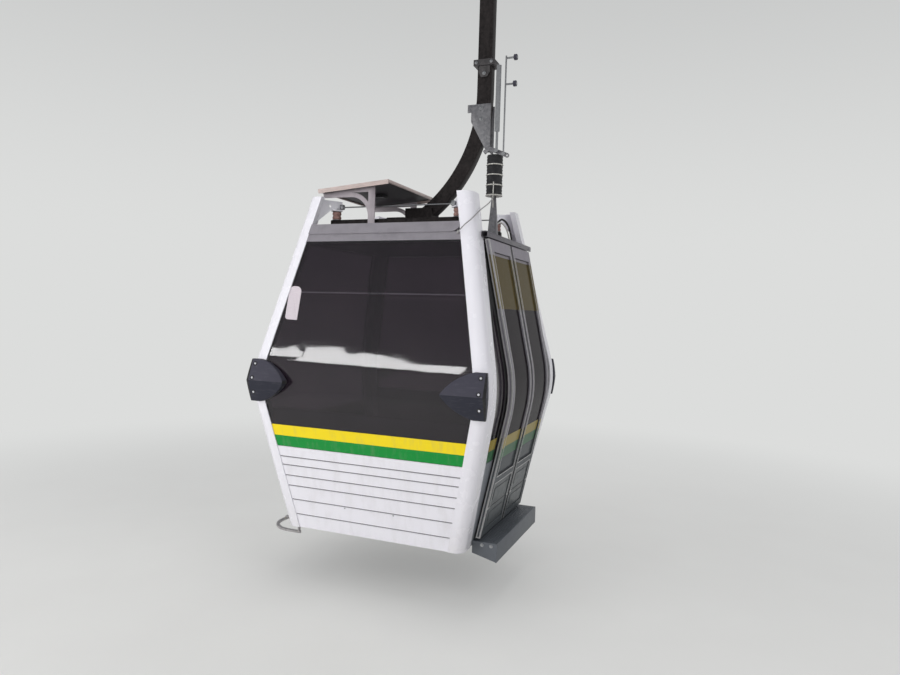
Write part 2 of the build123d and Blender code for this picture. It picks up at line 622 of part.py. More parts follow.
def benches():
    """A bench across each end: seat, pedestal and a low backrest against the window."""
    inside = PANEL_INSET + WALL + JOINT_GAP
    shaft = widths(inside) & lengths(inside)
    floor_top = FLOOR_BOTTOM + FLOOR_THICKNESS + JOINT_GAP
    seat_z = floor_top + BENCH_HEIGHT
    for (name, side), sign in zip(ENDS, (-1, 1)):
        seat_y = sorted((sign * BENCH_FRONT, sign * REACH))
        seat = shaft & between(seat_z - BENCH_THICKNESS, seat_z, y=seat_y)
        foot_y = sorted((sign * (BENCH_FRONT + BENCH_SETBACK), sign * REACH))
        pedestal = shaft & between(floor_top, seat_z - BENCH_THICKNESS + 1, y=foot_y)
        back = (lengths(inside) - lengths(inside + BACKREST)) & widths(POST_END_WIDTH + SEAL_GAP)
        back &= between(seat_z - 1, seat_z + BACKREST_HEIGHT, **side)
        write(f"bench_{name}", seat + pedestal + back)


def frame_top():
    """Upper face of the suspension frame's middle beam."""
    seat = POST_HEIGHT - HEAD_TIP - HEAD_SEAT_THICKNESS - JOINT_GAP
    return seat - RUBBER_HEIGHT - JOINT_GAP - FRAME_TUBE + FRAME_BEAM_HEIGHT


def hanger():
    """Tube from the hub at the grip down and round to its foot, with its collar and gussets."""
    low = frame_top() + JOINT_GAP
    foot_x, foot_rise = TUBE_FOOT
    angle = math.acos(1 - (HANGER_X - foot_x) / BEND_RADIUS)
    bend_z = low + foot_rise + BEND_RADIUS * math.sin(angle)
    section = Rectangle(HANGER_WIDTH, HANGER_DEPTH)
    down = {"x_dir": (1, 0, 0), "z_dir": (0, 0, -1)}
    leg = extrude(Plane(origin=(HANGER_X, 0, ROPE_HEIGHT), **down) * section, ROPE_HEIGHT - bend_z)
    bend_axis = Axis((HANGER_X - BEND_RADIUS, 0, bend_z), (0, 1, 0))
    bend = revolve(Plane(origin=(HANGER_X, 0, bend_z), **down) * section, bend_axis, math.degrees(angle))
    foot = block(FOOT_X, (-FOOT_DEPTH / 2, FOOT_DEPTH / 2), (low, low + FOOT_HEIGHT))
    half = HUB_LENGTH / 2
    eye = rod((HANGER_X - half, 0, ROPE_HEIGHT), (HANGER_X + half, 0, ROPE_HEIGHT), HUB_RADIUS)
    bore = rod((HANGER_X - HUB_LENGTH, 0, ROPE_HEIGHT), (HANGER_X + HUB_LENGTH, 0, ROPE_HEIGHT),
               PIN_RADIUS + PIN_FIT)
    write("hanger_tube", leg + bend + foot + eye - bore)
    write("hanger_collar", hanger_collar())
    write("hanger_gussets", hanger_gussets())


def hanger_collar():
    """Square collar round the tube, with a wedge plate under it on the front and on the back."""
    side_x = HANGER_WIDTH / 2 + JOINT_GAP
    side_y = HANGER_DEPTH / 2 + JOINT_GAP
    low = ROOF_HEIGHT + COLLAR_RISE
    high = low + COLLAR_HEIGHT
    outer_x = side_x + COLLAR_LIP
    outer_y = side_y + COLLAR_LIP
    collar = block((HANGER_X - outer_x, HANGER_X + outer_x), (-outer_y, outer_y), (low, high))
    collar -= block((HANGER_X - side_x, HANGER_X + side_x), (-side_y, side_y), (low - 1, high + 1))
    wide, narrow = WEDGE_HALF_WIDTHS
    straight, whole = WEDGE_DROPS
    foot = low - whole
    wedge = [(HANGER_X - wide, low + 1), (HANGER_X + wide, low + 1), (HANGER_X + wide, low - straight),
             (HANGER_X + narrow, foot), (HANGER_X - narrow, foot), (HANGER_X - wide, low - straight)]
    for y in (-side_y, side_y + WEDGE_THICKNESS):
        collar += plate(wedge, y, WEDGE_THICKNESS)
    return collar


def hanger_gussets():
    """Pair of plates on the tube's front and back that reach down to the lever's pivot."""
    left = HANGER_X - GUSSET_LEFT
    right = HANGER_X + GUSSET_RIGHT
    top = ROOF_HEIGHT + GUSSET_RISE
    pivot_x, pivot_z = LEVER_PIVOT
    outline = [
        (left, top), (right, top), (right, pivot_z), (pivot_x, pivot_z - GUSSET_FOOT),
        (pivot_x - GUSSET_FOOT, pivot_z), (left + GUSSET_EAR, top - GUSSET_STRAIGHT),
        (left + GUSSET_EAR, top - GUSSET_EAR_HEIGHT), (left, top - GUSSET_EAR_HEIGHT),
    ]
    side_y = HANGER_DEPTH / 2 + JOINT_GAP
    return group(plate(outline, y, GUSSET_THICKNESS) for y in (-side_y, side_y + GUSSET_THICKNESS))


def door_lever():
    """Three-armed lever on the front gusset: pivot, tip with its hole, and a foot on the bellows."""
    pivot_x, pivot_z = LEVER_PIVOT
    tip_x, tip_z = LEVER_TIP
    foot_x, foot_z = LEVER_FOOT
    eye = LEVER_EYE
    shape = Pos(pivot_x, pivot_z) * Circle(eye) + Pos(tip_x, tip_z) * Circle(eye)
    shape += make_face(Polyline((pivot_x, pivot_z + eye), (tip_x + eye / 3, tip_z + eye - 1),
                                (tip_x, tip_z - eye), (pivot_x, pivot_z - eye), close=True))
    shape += make_face(Polyline((pivot_x - eye, pivot_z), (foot_x - eye, foot_z + eye / 2),
                                (foot_x, foot_z - eye), (pivot_x + eye / 2, pivot_z - eye), close=True))
    shape -= Pos(tip_x, tip_z) * Circle(LEVER_HOLE)
    return extrude(Plane.XZ * shape, LEVER_THICKNESS)


def door_gear():
    """Lever, push rods, roller arms and spring bellows that work the doors from the hanger."""
    plane_y = -(HANGER_DEPTH / 2 + JOINT_GAP + GUSSET_THICKNESS + JOINT_GAP)
    write("door_lever", Pos(0, plane_y, 0) * door_lever())

    face_y = plane_y - LEVER_THICKNESS - JOINT_GAP
    pivot_x, pivot_z = LEVER_PIVOT
    tip_x, tip_z = LEVER_TIP
    slope = (tip_z - pivot_z) / (tip_x - pivot_x)
    tube_y = face_y - PUSH_TUBE_RADIUS
    tube_z = pivot_z + slope * (PUSH_TUBE_X - pivot_x)
    rod_z = pivot_z + slope * (PUSH_ROD_X - pivot_x)
    low, high = (ROOF_HEIGHT + rise for rise in PUSH_TUBE_RISES)
    tube = rod((PUSH_TUBE_X, tube_y, low), (PUSH_TUBE_X, tube_y, high), PUSH_TUBE_RADIUS)
    tube += rod((PUSH_TUBE_X, tube_y, tube_z), (PUSH_TUBE_X, tube_y, low), PUSH_TUBE_RADIUS / 2)
    tube += rod((PUSH_TUBE_X, face_y, tube_z), (PUSH_TUBE_X, face_y - 2 * PUSH_TUBE_RADIUS, tube_z), EYE_RADIUS)
    write("door_push_tube", tube)
    gear_y = face_y - PUSH_EYE / 2
    thin = rod((PUSH_ROD_X, gear_y, rod_z), (PUSH_ROD_X, gear_y, ROOF_HEIGHT + PUSH_ROD_RISE), PUSH_ROD_RADIUS)
    thin += rod((PUSH_ROD_X, face_y, rod_z), (PUSH_ROD_X, face_y - PUSH_EYE, rod_z), EYE_RADIUS)
    write("door_push_rod", thin)

    arms = []
    start = PUSH_ROD_X + PUSH_ROD_RADIUS + JOINT_GAP
    end = start + ROLLER_ARM_LENGTH
    head_radius, head_length = ROLLER_HEAD
    for rise in ROLLER_ARM_RISES:
        z = ROOF_HEIGHT + rise
        pin = rod((start, gear_y, z), (end, gear_y, z), ROLLER_ARM_RADIUS)
        arms.append(pin + rod((end - head_length, gear_y, z), (end, gear_y, z), head_radius))
    write("door_roller_arms", group(arms))


def bellows_levels():
    """Height of each ring under a fold, and the height of the upper end, from the roof's height."""
    low, high = (ROOF_HEIGHT + rise for rise in BELLOWS_RISES)
    pitch = (high - low) / BELLOWS_FOLDS
    return [low + fold * pitch for fold in range(BELLOWS_FOLDS + 1)]


def bellows():
    """Rubber sleeves with a ring under each, on a stand that carries the release cables."""
    levels = bellows_levels()
    half = BELLOWS_RING / 2
    sleeves = []
    rings = []
    for low, high in zip(levels, levels[1:]):
        rings.append(rod((BELLOWS_X, 0, low - half), (BELLOWS_X, 0, low + half), BELLOWS_RING_RADIUS))
        sleeves.append(rod((BELLOWS_X, 0, low + half + JOINT_GAP), (BELLOWS_X, 0, high - half - JOINT_GAP),
                           BELLOWS_RADIUS))
    write("door_bellows", group(sleeves))
    write("bellows_rings", group(rings))

    top = levels[0] - half - JOINT_GAP
    length, depth, thickness = STAND_BASE
    base_top = ROOF_TOP + thickness
    stand = block((BELLOWS_X - length / 2, BELLOWS_X + length / 2), (-depth / 2, depth / 2),
                  (ROOF_TOP + JOINT_GAP, base_top))
    taper = math.degrees(math.atan((STAND_FOOT[0] - STAND_HEAD[0]) / 2 / (top - base_top)))
    stand += extrude(Plane((BELLOWS_X, 0, base_top)) * Rectangle(*STAND_FOOT), top - base_top, taper=taper)
    write("cable_bracket", stand)


def release_cable():
    """Thin cable from the lowest ring, outside the front post on the door side, to the header's ferrule."""
    start_z = bellows_levels()[0] - BELLOWS_RING / 2 - 3 * CABLE_RADIUS
    radius, length = CABLE_FERRULE
    end_x = half_at(HALF_WIDTHS, ROOF_HEIGHT) - POST_END_WIDTH - 2 * radius
    end_z = ROOF_HEIGHT - CABLE_END_DROP
    face = -half_at(HALF_LENGTHS, end_z - radius) - JOINT_GAP
    side_x = half_at(HALF_WIDTHS, ROOF_HEIGHT + CABLE_SIDE_RISE) + CABLE_CLEARANCE
    corner_y = -half_at(HALF_LENGTHS, ROOF_HEIGHT) - CABLE_CLEARANCE
    post_y = corner_y + POST_SIDE_WIDTH
    points = [
        (BELLOWS_X, -STAND_HEAD[1] / 2 - CABLE_RADIUS, start_z),
        (side_x - CABLE_CLEARANCE, post_y / 2 - STAND_HEAD[1], (start_z + ROOF_HEIGHT + CABLE_SIDE_RISE) / 2),
        (side_x, post_y, ROOF_HEIGHT + CABLE_SIDE_RISE),
        (side_x - CABLE_CLEARANCE / 2, corner_y + CABLE_CLEARANCE, ROOF_HEIGHT + CABLE_SIDE_RISE / 2),
        (side_x - POST_END_WIDTH / 2, corner_y - CABLE_CLEARANCE / 2, ROOF_HEIGHT + CABLE_SIDE_RISE / 4),
        (end_x, face - length, end_z),
    ]
    path = FilletPolyline(*points, radius=CABLE_BEND)
    cable = sweep(Plane(origin=path @ 0, z_dir=path % 0) * Circle(CABLE_RADIUS), path=path)
    return cable + rod((end_x, face - length, end_z), (end_x, face, end_z), radius)


def suspension():
    """Welded frame that the hanger stands on, its rubber mounts and the tie rods over it."""
    seat = POST_HEIGHT - HEAD_TIP - HEAD_SEAT_THICKNESS
    rubber_z = (seat - JOINT_GAP - RUBBER_HEIGHT, seat - JOINT_GAP)
    tube_z = (rubber_z[0] - JOINT_GAP - FRAME_TUBE, rubber_z[0] - JOINT_GAP)
    places = seat_places()
    x = max(place[0] for place in places)
    y = max(place[1] for place in places)
    half = FRAME_TUBE / 2
    frame = block((-FRAME_BEAM_WIDTH / 2, FRAME_BEAM_WIDTH / 2), (-y, y),
                  (tube_z[0], tube_z[0] + FRAME_BEAM_HEIGHT))
    for sign in (-1, 1):
        frame += block((-x - half, x + half), (sign * y - half, sign * y + half), tube_z)
    write("suspension_beam", frame)
    write("suspension_rubbers", group(
        rod((px, py, rubber_z[0]), (px, py, rubber_z[1]), RUBBER_RADIUS) for px, py in places))


def tie_rods():
    """Rod between the tips of the post heads at each end, seated against both plates."""
    corner = (half_at(HALF_WIDTHS, POST_HEIGHT) - WALL, half_at(HALF_LENGTHS, POST_HEIGHT) - WALL)
    step = (HEAD_REACH - 5 * TIE_RADIUS) / math.sqrt(2)
    z = POST_HEIGHT - TIE_DROP
    y = corner[1] - step
    end = corner[0] - step - (HEAD_THICKNESS / 2 + JOINT_GAP) * math.sqrt(2) - TIE_RADIUS
    return group(rod((-end, sign * y, z), (end, sign * y, z), TIE_RADIUS) for sign in (-1, 1))


def solar():
    """Tilted solar panel over the roof's closed side, on two sheet brackets with a quarter arch."""
    y_low, y_high = SOLAR_Y
    high_z = ROOF_HEIGHT + SOLAR_RISE
    tilt = Pos(0, 0, high_z) * Rot(0, -SOLAR_TILT, 0)
    write("solar_panel", tilt * block((-SOLAR_WIDTH, 0), (y_low, y_high), (0, SOLAR_THICKNESS)))

    arm_z = ROOF_HEIGHT + SOLAR_ARM_RISE
    across = (-REACH, REACH)
    under_panel = tilt * block((-SOLAR_WIDTH + SOLAR_ARM_END, -SOLAR_ARM_END), across, (-REACH, -JOINT_GAP))
    post_x = (SOLAR_POST_X, SOLAR_POST_X + SOLAR_POST_WIDTH)
    arm = block((-REACH, post_x[1]), across, (arm_z, POST_HEIGHT + REACH))
    post = block(post_x, across, (ROOF_TOP + JOINT_GAP, POST_HEIGHT + REACH))
    # the quarter arch springs from the post and dies into the arm's lower edge
    arch_x, arch_z = SOLAR_POST_X - SOLAR_ARCH, arm_z - SOLAR_ARCH
    centre = ((arch_x, -REACH, arch_z), (arch_x, REACH, arch_z))
    corner = block((arch_x, SOLAR_POST_X + 1), across, (arch_z, arm_z + SOLAR_ARCH_BAND))
    arch = (corner & rod(*centre, SOLAR_ARCH + SOLAR_ARCH_BAND)) - rod(*centre, SOLAR_ARCH)
    window = corner - rod(*centre, SOLAR_ARCH + SOLAR_ARCH_BAND)
    window &= block((arch_x, SOLAR_POST_X), across, (arch_z, arm_z + SOLAR_ARCH_BAND))
    bracket = ((arm - window) + arch + post) & under_panel
    setback = SOLAR_BRACKET_SETBACK
    write("solar_brackets", group(
        bracket & block((-REACH, 0), (y - SOLAR_SHEET / 2, y + SOLAR_SHEET / 2), (0, ROPE_HEIGHT))
        for y in (y_low + setback, y_high - setback)))


def rope_level(*rises):
    """Heights given from the rope's axis, in the cabin's own coordinates."""
    return tuple(ROPE_HEIGHT + rise for rise in rises)


def grip_jaws():
    """Fixed half and moving half of the clamp round the rope, without what they carry."""
    rope = rod((0, -JAW_LENGTH, ROPE_HEIGHT), (0, JAW_LENGTH, ROPE_HEIGHT), ROPE_RADIUS)
    low, head, beam_high = rope_level(-JAW_DROP, JAW_HEAD, GRIP_BEAM[1])
    profile = [(JAW_SPLIT, low), (JAW_WIDTH - JAW_NOSE, low), (JAW_WIDTH, low + JAW_NOSE)]
    half = JAW_LENGTH / 2
    fixed = plate(profile + [(JAW_WIDTH, beam_high), (JAW_SPLIT, beam_high)], half, JAW_LENGTH) - rope
    moving = plate(profile + [(JAW_WIDTH, head), (JAW_SPLIT, head)], half, JAW_LENGTH)
    moving += block((JAW_SPLIT, JAW_WIDTH), (-JAW_NECK, JAW_NECK), (head - 1, beam_high))
    return fixed, mirror(moving - rope, about=Plane.YZ)


def running_wheel(x, axle_z):
    """Wheel with a dished web between its rim and its hub."""
    half = WHEEL_WIDTH / 2
    web = half - WHEEL_DISH
    rim = WHEEL_RADIUS - WHEEL_RIM
    bore = AXLE_RADIUS + PIN_FIT
    side = [(bore, half), (WHEEL_HUB, half), (WHEEL_HUB, web), (rim, web), (rim, half), (WHEEL_RADIUS, half)]
    outline = side + [(radius, -across) for radius, across in reversed(side)]
    wheel = revolve(Plane.XZ * make_face(Polyline(*outline, close=True)), Axis.Z)
    return Pos(x, 0, axle_z) * Rot(0, 90, 0) * wheel


def grip():
    """Clamp on the rope, with the beam that carries the hanger's pin and the running wheels."""
    beam_low, beam_high = rope_level(*GRIP_BEAM)
    fixed, moving = grip_jaws()
    lug_inner = HANGER_X - HUB_LENGTH / 2 - LUG_SIDE_GAP - LUG_THICKNESS
    lug_outer = HANGER_X + HUB_LENGTH / 2 + LUG_SIDE_GAP
    lug_end = lug_outer + LUG_THICKNESS
    depth = (-GRIP_BEAM_DEPTH / 2, GRIP_BEAM_DEPTH / 2)
    body = fixed + block((JAW_WIDTH - 1, lug_end), depth, (beam_low, beam_high))
    for x in (lug_inner, lug_outer):
        body += block((x, x + LUG_THICKNESS), depth, (ROPE_HEIGHT, beam_low + 1))
        body += rod((x, 0, ROPE_HEIGHT), (x + LUG_THICKNESS, 0, ROPE_HEIGHT), GRIP_BEAM_DEPTH / 2)
    body -= rod((lug_inner - 1, 0, ROPE_HEIGHT), (lug_end + 1, 0, ROPE_HEIGHT), PIN_RADIUS + PIN_FIT)
    axle_z = beam_high + WHEEL_GAP + WHEEL_RADIUS
    plate_z = axle_z + WHEEL_RADIUS + DRIVE_PLATE_GAP
    for x in STAND_X:
        body += block((x - STAND_THICKNESS / 2, x + STAND_THICKNESS / 2), (-STAND_DEPTH / 2, STAND_DEPTH / 2),
                      (beam_high - 1, plate_z - JOINT_GAP))
    overhang = WHEEL_WIDTH / 2 + AXLE_END
    axle = ((WHEEL_X[0] - overhang, 0, axle_z), (WHEEL_X[1] + overhang, 0, axle_z))
    write("grip_body", body - rod(*axle, AXLE_RADIUS + PIN_FIT))
    write("grip_jaw", moving)
    write("wheel_axle", rod(*axle, AXLE_RADIUS))
    for name, x in zip(("inner", "outer"), WHEEL_X):
        write(f"running_wheel_{name}", running_wheel(x, axle_z))
    write("swing_pin", rod((lug_inner - LUG_SIDE_GAP, 0, ROPE_HEIGHT), (lug_end + LUG_SIDE_GAP, 0, ROPE_HEIGHT),
                           PIN_RADIUS))
    write("grip_drive_plate", block(DRIVE_PLATE_X, (-DRIVE_PLATE_HALF, DRIVE_PLATE_HALF),
                                    (plate_z, plate_z + DRIVE_PLATE_THICKNESS)))
    spring_z = (beam_high + JOINT_GAP, plate_z - JOINT_GAP)
    springs = [rod((SPRING_X, y, spring_z[0]), (SPRING_X, y, spring_z[1]), SPRING_RADIUS)
               for y in (-SPRING_Y, SPRING_Y)]
    write("grip_springs", group(springs))
    length, width, height = GRIP_LEVER
    radius, roller_width = GRIP_ROLLER
    tip = -JAW_WIDTH - length
    lever_z = beam_high + JOINT_GAP
    lever = block((tip, JAW_WIDTH), (-width / 2, width / 2), (lever_z, lever_z + height))
    roller_z = lever_z + height
    write("grip_lever", lever + rod((tip, 0, roller_z), (tip + roller_width, 0, roller_z), radius))


def main():
    os.makedirs("parts", exist_ok=True)
    corner_posts()
    corner_bumpers()
    ends()
    closed_side()
    door_side()
    doors()
    floor_and_roof()
    benches()
    hanger()
    door_gear()
    bellows()
    write("release_cable", release_cable())
    suspension()
    write("tie_rods", tie_rods())
    solar()
    grip()


main()
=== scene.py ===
"""Looks of a detachable cable car cabin: finishes for its frame and the detail pieces on it."""
import math

import bmesh
import bpy
from bpy.props import FloatProperty, FloatVectorProperty, PointerProperty
from mathutils import Matrix, Quaternion, Vector


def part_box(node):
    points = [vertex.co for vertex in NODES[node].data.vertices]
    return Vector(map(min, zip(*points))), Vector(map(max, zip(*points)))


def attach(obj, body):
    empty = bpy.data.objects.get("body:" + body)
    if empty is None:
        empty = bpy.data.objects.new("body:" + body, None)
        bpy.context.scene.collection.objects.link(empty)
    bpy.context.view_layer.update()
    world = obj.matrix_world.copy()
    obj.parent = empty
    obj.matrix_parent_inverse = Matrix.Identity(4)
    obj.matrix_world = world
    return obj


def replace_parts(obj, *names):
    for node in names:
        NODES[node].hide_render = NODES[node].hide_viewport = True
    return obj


bl_info = {
    "name": "Cable Car Cabin Looks",
    "version": (1, 0, 0),
    "blender": (4, 5, 0),
    "location": "View3D > Sidebar > Cabin",
    "description": "Finishes and detail pieces of a cable car cabin, built on its packed frame",
    "category": "Object",
}

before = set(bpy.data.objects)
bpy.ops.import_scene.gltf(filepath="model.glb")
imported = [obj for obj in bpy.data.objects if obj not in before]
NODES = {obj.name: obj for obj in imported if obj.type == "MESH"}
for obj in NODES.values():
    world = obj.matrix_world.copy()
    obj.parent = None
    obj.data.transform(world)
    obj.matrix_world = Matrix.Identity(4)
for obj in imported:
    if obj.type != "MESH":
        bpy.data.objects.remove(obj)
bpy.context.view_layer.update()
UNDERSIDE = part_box("corner_post_front_left")[0].z
GLASS_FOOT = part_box("end_window_front")[0].z

# heights over the underside: joints between the slats, ridge of the bumpers, joint under the hopper sash
SLAT_JOINTS = (0.104, 0.217, 0.324, 0.402, 0.482, 0.546)
BUMPER_RIDGE = 1.110
SASH_JOINT = 1.7635
# and on the leaves: seam of the panel, foot of the smoked glass, of the stiles' grey field, of the painted
# olive reflection and of the plain band, top
LEAF_SEAM = 0.272
SMOKE_FOOT = 0.627
STILE_FOOT = 0.785
OLIVE_REFLECTION_FOOT = 1.68
BAND_FOOT = 2.055
LEAF_TOP = 2.165

# how far the trims stand out and how wide they are, depth of the jambs, distance of the doorway's ends
TRIM_HEIGHT = 0.0015
TRIM_WIDTH = 0.006
JAMB_DEPTH = 0.06
DOORWAY_END = 0.58
# rim and tilt of the solar panel, radius of the wheels' hubs, colour of the backdrop at the horizon
SOLAR_RIM = 0.014
SOLAR_TILT = math.radians(4.7)
HUB_RADIUS = 0.068
HORIZON = "#dcdddc"

# big soft lamps: place, aim, size, power, lean in degrees, and whether they are only the streak that is
# seen in the knee of the front window
LAMPS = (
    ((-4.6, -5.4, -1.2), (0, 0, -3.4), (5.0, 5.0), 172, 0, False),
    ((-2.6, -8.6, -3.2), (0, -0.7, -4.1), (3.0, 3.0), 235, 0, False),
    ((5.2, -3.0, -0.6), (0.2, 0, -3.4), (4.0, 4.0), 108, 0, False),
    ((0.5, 4.8, -0.2), (0, 0, -3.2), (4.5, 4.5), 90, 0, False),
    ((0.0, -0.8, 3.6), (0, 0, -3.0), (4.5, 4.5), 150, 0, False),
    ((-7.3, -14.0, 1.12), (-7.3, 0, 1.12), (5.7, 1.6), 420, 7, True),
    ((-10.9, -14.0, 1.85), (-10.9, 0, 1.85), (1.5, 0.35), 24, 0, True),
)


def linear(hex_colour):
    """Scene-linear RGBA of an sRGB hex colour."""
    values = [int(hex_colour[start:start + 2], 16) / 255 for start in (1, 3, 5)]
    return tuple(v / 12.92 if v <= 0.04045 else ((v + 0.055) / 1.055) ** 2.4 for v in values) + (1.0,)


class CABIN_PG_sizes(bpy.types.PropertyGroup):
    """Sizes of the detail pieces that a user may want to change."""
    bolt_head: FloatProperty(
        name="Bolt Head", description="Width of a bolt head across its flats",
        default=0.017, min=0.004, max=0.04, unit="LENGTH")
    gasket_width: FloatProperty(
        name="Gasket Width", description="Visible width of the rubber gasket round each pane",
        default=0.009, min=0.004, max=0.04, unit="LENGTH")
    stripe_height: FloatProperty(
        name="Stripe Height", description="Height of each coloured stripe under the windows",
        default=0.080, min=0.0, max=0.2, unit="LENGTH")
    spring_wire: FloatProperty(
        name="Spring Wire", description="Diameter of the wire of the grip's coil springs",
        default=0.010, min=0.004, max=0.02, unit="LENGTH")


class CABIN_PG_colours(bpy.types.PropertyGroup):
    """Colours of the painted and filmed surfaces."""
    body: FloatVectorProperty(
        name="Body", description="White of the posts and the lower panels",
        subtype="COLOR", size=4, min=0, max=1, default=linear("#e6e4ea"))
    upper_stripe: FloatVectorProperty(
        name="Upper Stripe", description="Stripe on the lowest part of the windows",
        subtype="COLOR", size=4, min=0, max=1, default=linear("#efd51c"))
    lower_stripe: FloatVectorProperty(
        name="Lower Stripe", description="Stripe right above the lower panels",
        subtype="COLOR", size=4, min=0, max=1, default=linear("#0f8a38"))
    window_tint: FloatVectorProperty(
        name="Window Tint", description="What the end windows let through",
        subtype="COLOR", size=4, min=0, max=1, default=linear("#6d626c"))


def socket_of(source):
    """The first output of a node, or a socket itself."""
    return source if isinstance(source, bpy.types.NodeSocket) else source.outputs[0]


def add(tree, kind, settings=None, links=None):
    """Adds a node, sets its values by name or input, and links its inputs to nodes or sockets."""
    node = tree.nodes.new("ShaderNode" + kind)
    for key, value in (settings or {}).items():
        if isinstance(key, str) and hasattr(node, key):
            setattr(node, key, value)
        else:
            node.inputs[key].default_value = value
    for key, source in (links or {}).items():
        tree.links.new(socket_of(source), node.inputs[key])
    return node


def place(tree, scale=(1, 1, 1)):
    """Object coordinates in metres, stretched for a pattern with a grain."""
    coords = add(tree, "TexCoord")
    return add(tree, "Mapping", {"Scale": scale}, {"Vector": coords.outputs["Object"]})


def maths(tree, operation, *terms):
    """Node that reckons with nodes, sockets and plain numbers, in the order of its inputs."""
    numbers = {slot: term for slot, term in enumerate(terms) if isinstance(term, (int, float))}
    wires = {slot: term for slot, term in enumerate(terms) if slot not in numbers}
    return add(tree, "Math", {"operation": operation, **numbers}, wires)


def ranged(tree, source, low=0.0, high=1.0, onto_low=0.0, onto_high=1.0, kind="LINEAR"):
    """Value whose range from low to high is stretched onto another range, and kept within it."""
    return add(tree, "MapRange", {"From Min": low, "From Max": high, "To Min": onto_low, "To Max": onto_high,
                                  "interpolation_type": kind}, {"Value": source})


def mixed(tree, share, first, second):
    """Colour socket between two colours, each an sRGB hex, a scene-linear colour or another socket."""
    settings, links = {"data_type": "RGBA"}, {0: share}
    for slot, colour in ((6, first), (7, second)):
        if isinstance(colour, bpy.types.NodeSocket):
            links[slot] = colour
        else:
            settings[slot] = linear(colour) if isinstance(colour, str) else colour
    return add(tree, "Mix", settings, links).outputs[2]


def looked_at(tree):
    """1 for rays from the camera, off a glossy surface or through glass, which see the backdrop; else 0."""
    path = add(tree, "LightPath").outputs
    seen = maths(tree, "MAXIMUM", path["Is Camera Ray"], path["Is Glossy Ray"])
    return maths(tree, "MAXIMUM", seen, path["Is Transmission Ray"])


class Finish:
    """A material under way: its shader, and the steps that a finish is made of."""

    def __init__(self, name, settings):
        self.material = bpy.data.materials.new(name)
        self.material.use_nodes = True
        self.tree = self.material.node_tree
        self.tree.nodes.clear()
        self.shader = add(self.tree, "BsdfPrincipled", settings)
        self.output = add(self.tree, "OutputMaterial", {}, {"Surface": self.shader})
        self.at = place(self.tree)

    def wire(self, source, name):
        """Wires a node or socket to an input of the shader."""
        self.tree.links.new(socket_of(source), self.shader.inputs[name])

    def noise(self, scale, detail, roughness=0.5):
        """Clouds with one scale all round, or with a grain by three scales."""
        grain = isinstance(scale, tuple)
        settings = {"Scale": 1.0 if grain else scale, "Detail": detail, "Roughness": roughness}
        return add(self.tree, "TexNoise", settings, {"Vector": place(self.tree, scale) if grain else self.at})

    def cells(self, scale, settings=None):
        """Cells, from the distance to their middles."""
        return add(self.tree, "TexVoronoi", {"Scale": scale, **(settings or {})}, {"Vector": self.at})

    def height(self):
        """Socket of the height in the frame."""
        return add(self.tree, "SeparateXYZ", {}, {0: self.at}).outputs["Z"]

    def zoned(self, *fields):
        """Colour socket that changes at given heights: fields of (height over the underside, sRGB hex)."""
        height = self.height()
        shade = fields[0][1]
        for foot, above in fields[1:]:
            over = maths(self.tree, "GREATER_THAN", height, UNDERSIDE + foot)
            shade = mixed(self.tree, over, shade, above)
        return shade

    def ranged(self, *span):
        """Value stretched from one range onto another."""
        return ranged(self.tree, *span)

    def coloured(self, share, first, second):
        """Gives the shader a colour between two."""
        self.wire(mixed(self.tree, share, first, second), "Base Color")

    def roughened(self, source, *span):
        """Gives the shader its roughness from a value: from low, high onto low, high."""
        self.wire(ranged(self.tree, source, *span), "Roughness")

    def embossed(self, height, strength, distance):
        """Gives the shader a relief."""
        bump = add(self.tree, "Bump", {"Strength": strength, "Distance": distance}, {"Height": height})
        self.wire(bump, "Normal")


def gelcoat():
    """Gelcoat on glass fibre, sprayed in a mould: smooth and softly glossy, with a faint ripple and dust."""
    finish = Finish("white_gelcoat", {"IOR": 1.5, "Coat Weight": 0.25, "Coat Roughness": 0.08})
    # hand-sized clouds of wash marks, and dust that gathers toward the foot of the cabin
    clouds = finish.noise(9, 6, 0.6)
    low = finish.ranged(finish.height(), UNDERSIDE + 0.7, UNDERSIDE)
    dust = finish.ranged(maths(finish.tree, "MULTIPLY", clouds, low), 0.25, 0.8, 0, 0.3)
    finish.coloured(dust, bpy.context.scene.cabin_colours.body, "#bdb8b2")
    finish.roughened(clouds, 0.3, 0.7, 0.22, 0.3)
    # orange peel of the sprayed coat, about 3 mm from hump to hump
    finish.embossed(finish.noise(330, 1), 0.05, 0.001)
    return finish.material


def coated_slats():
    """Powder-coated aluminium slats: satin white, with drips and grey dirt out of the joints."""
    finish = Finish("powder_coated_slats", {"Roughness": 0.38, "IOR": 1.5})
    # rain streaks: thin in plan, long in height
    streaks = finish.noise((17, 17, 3.5), 4)
    both = maths(finish.tree, "MULTIPLY_ADD", finish.noise(90, 3), 0.3, streaks)
    dirt = finish.ranged(both, 0.6, 1.05, 0, 0.22)
    white = mixed(finish.tree, dirt, bpy.context.scene.cabin_colours.body, "#a39e97")
    # grime lies in the joints between the slats, which are 9 mm high
    height = finish.height()
    joints = None
    for joint in SLAT_JOINTS:
        here = maths(finish.tree, "COMPARE", height, UNDERSIDE + joint, 0.0042)
        joints = maths(finish.tree, "MAXIMUM", joints, here) if joints else here
    finish.coloured(joints, white, "#7d7a7e")
    finish.embossed(finish.noise(620, 2), 0.08, 0.001)
    return finish.material


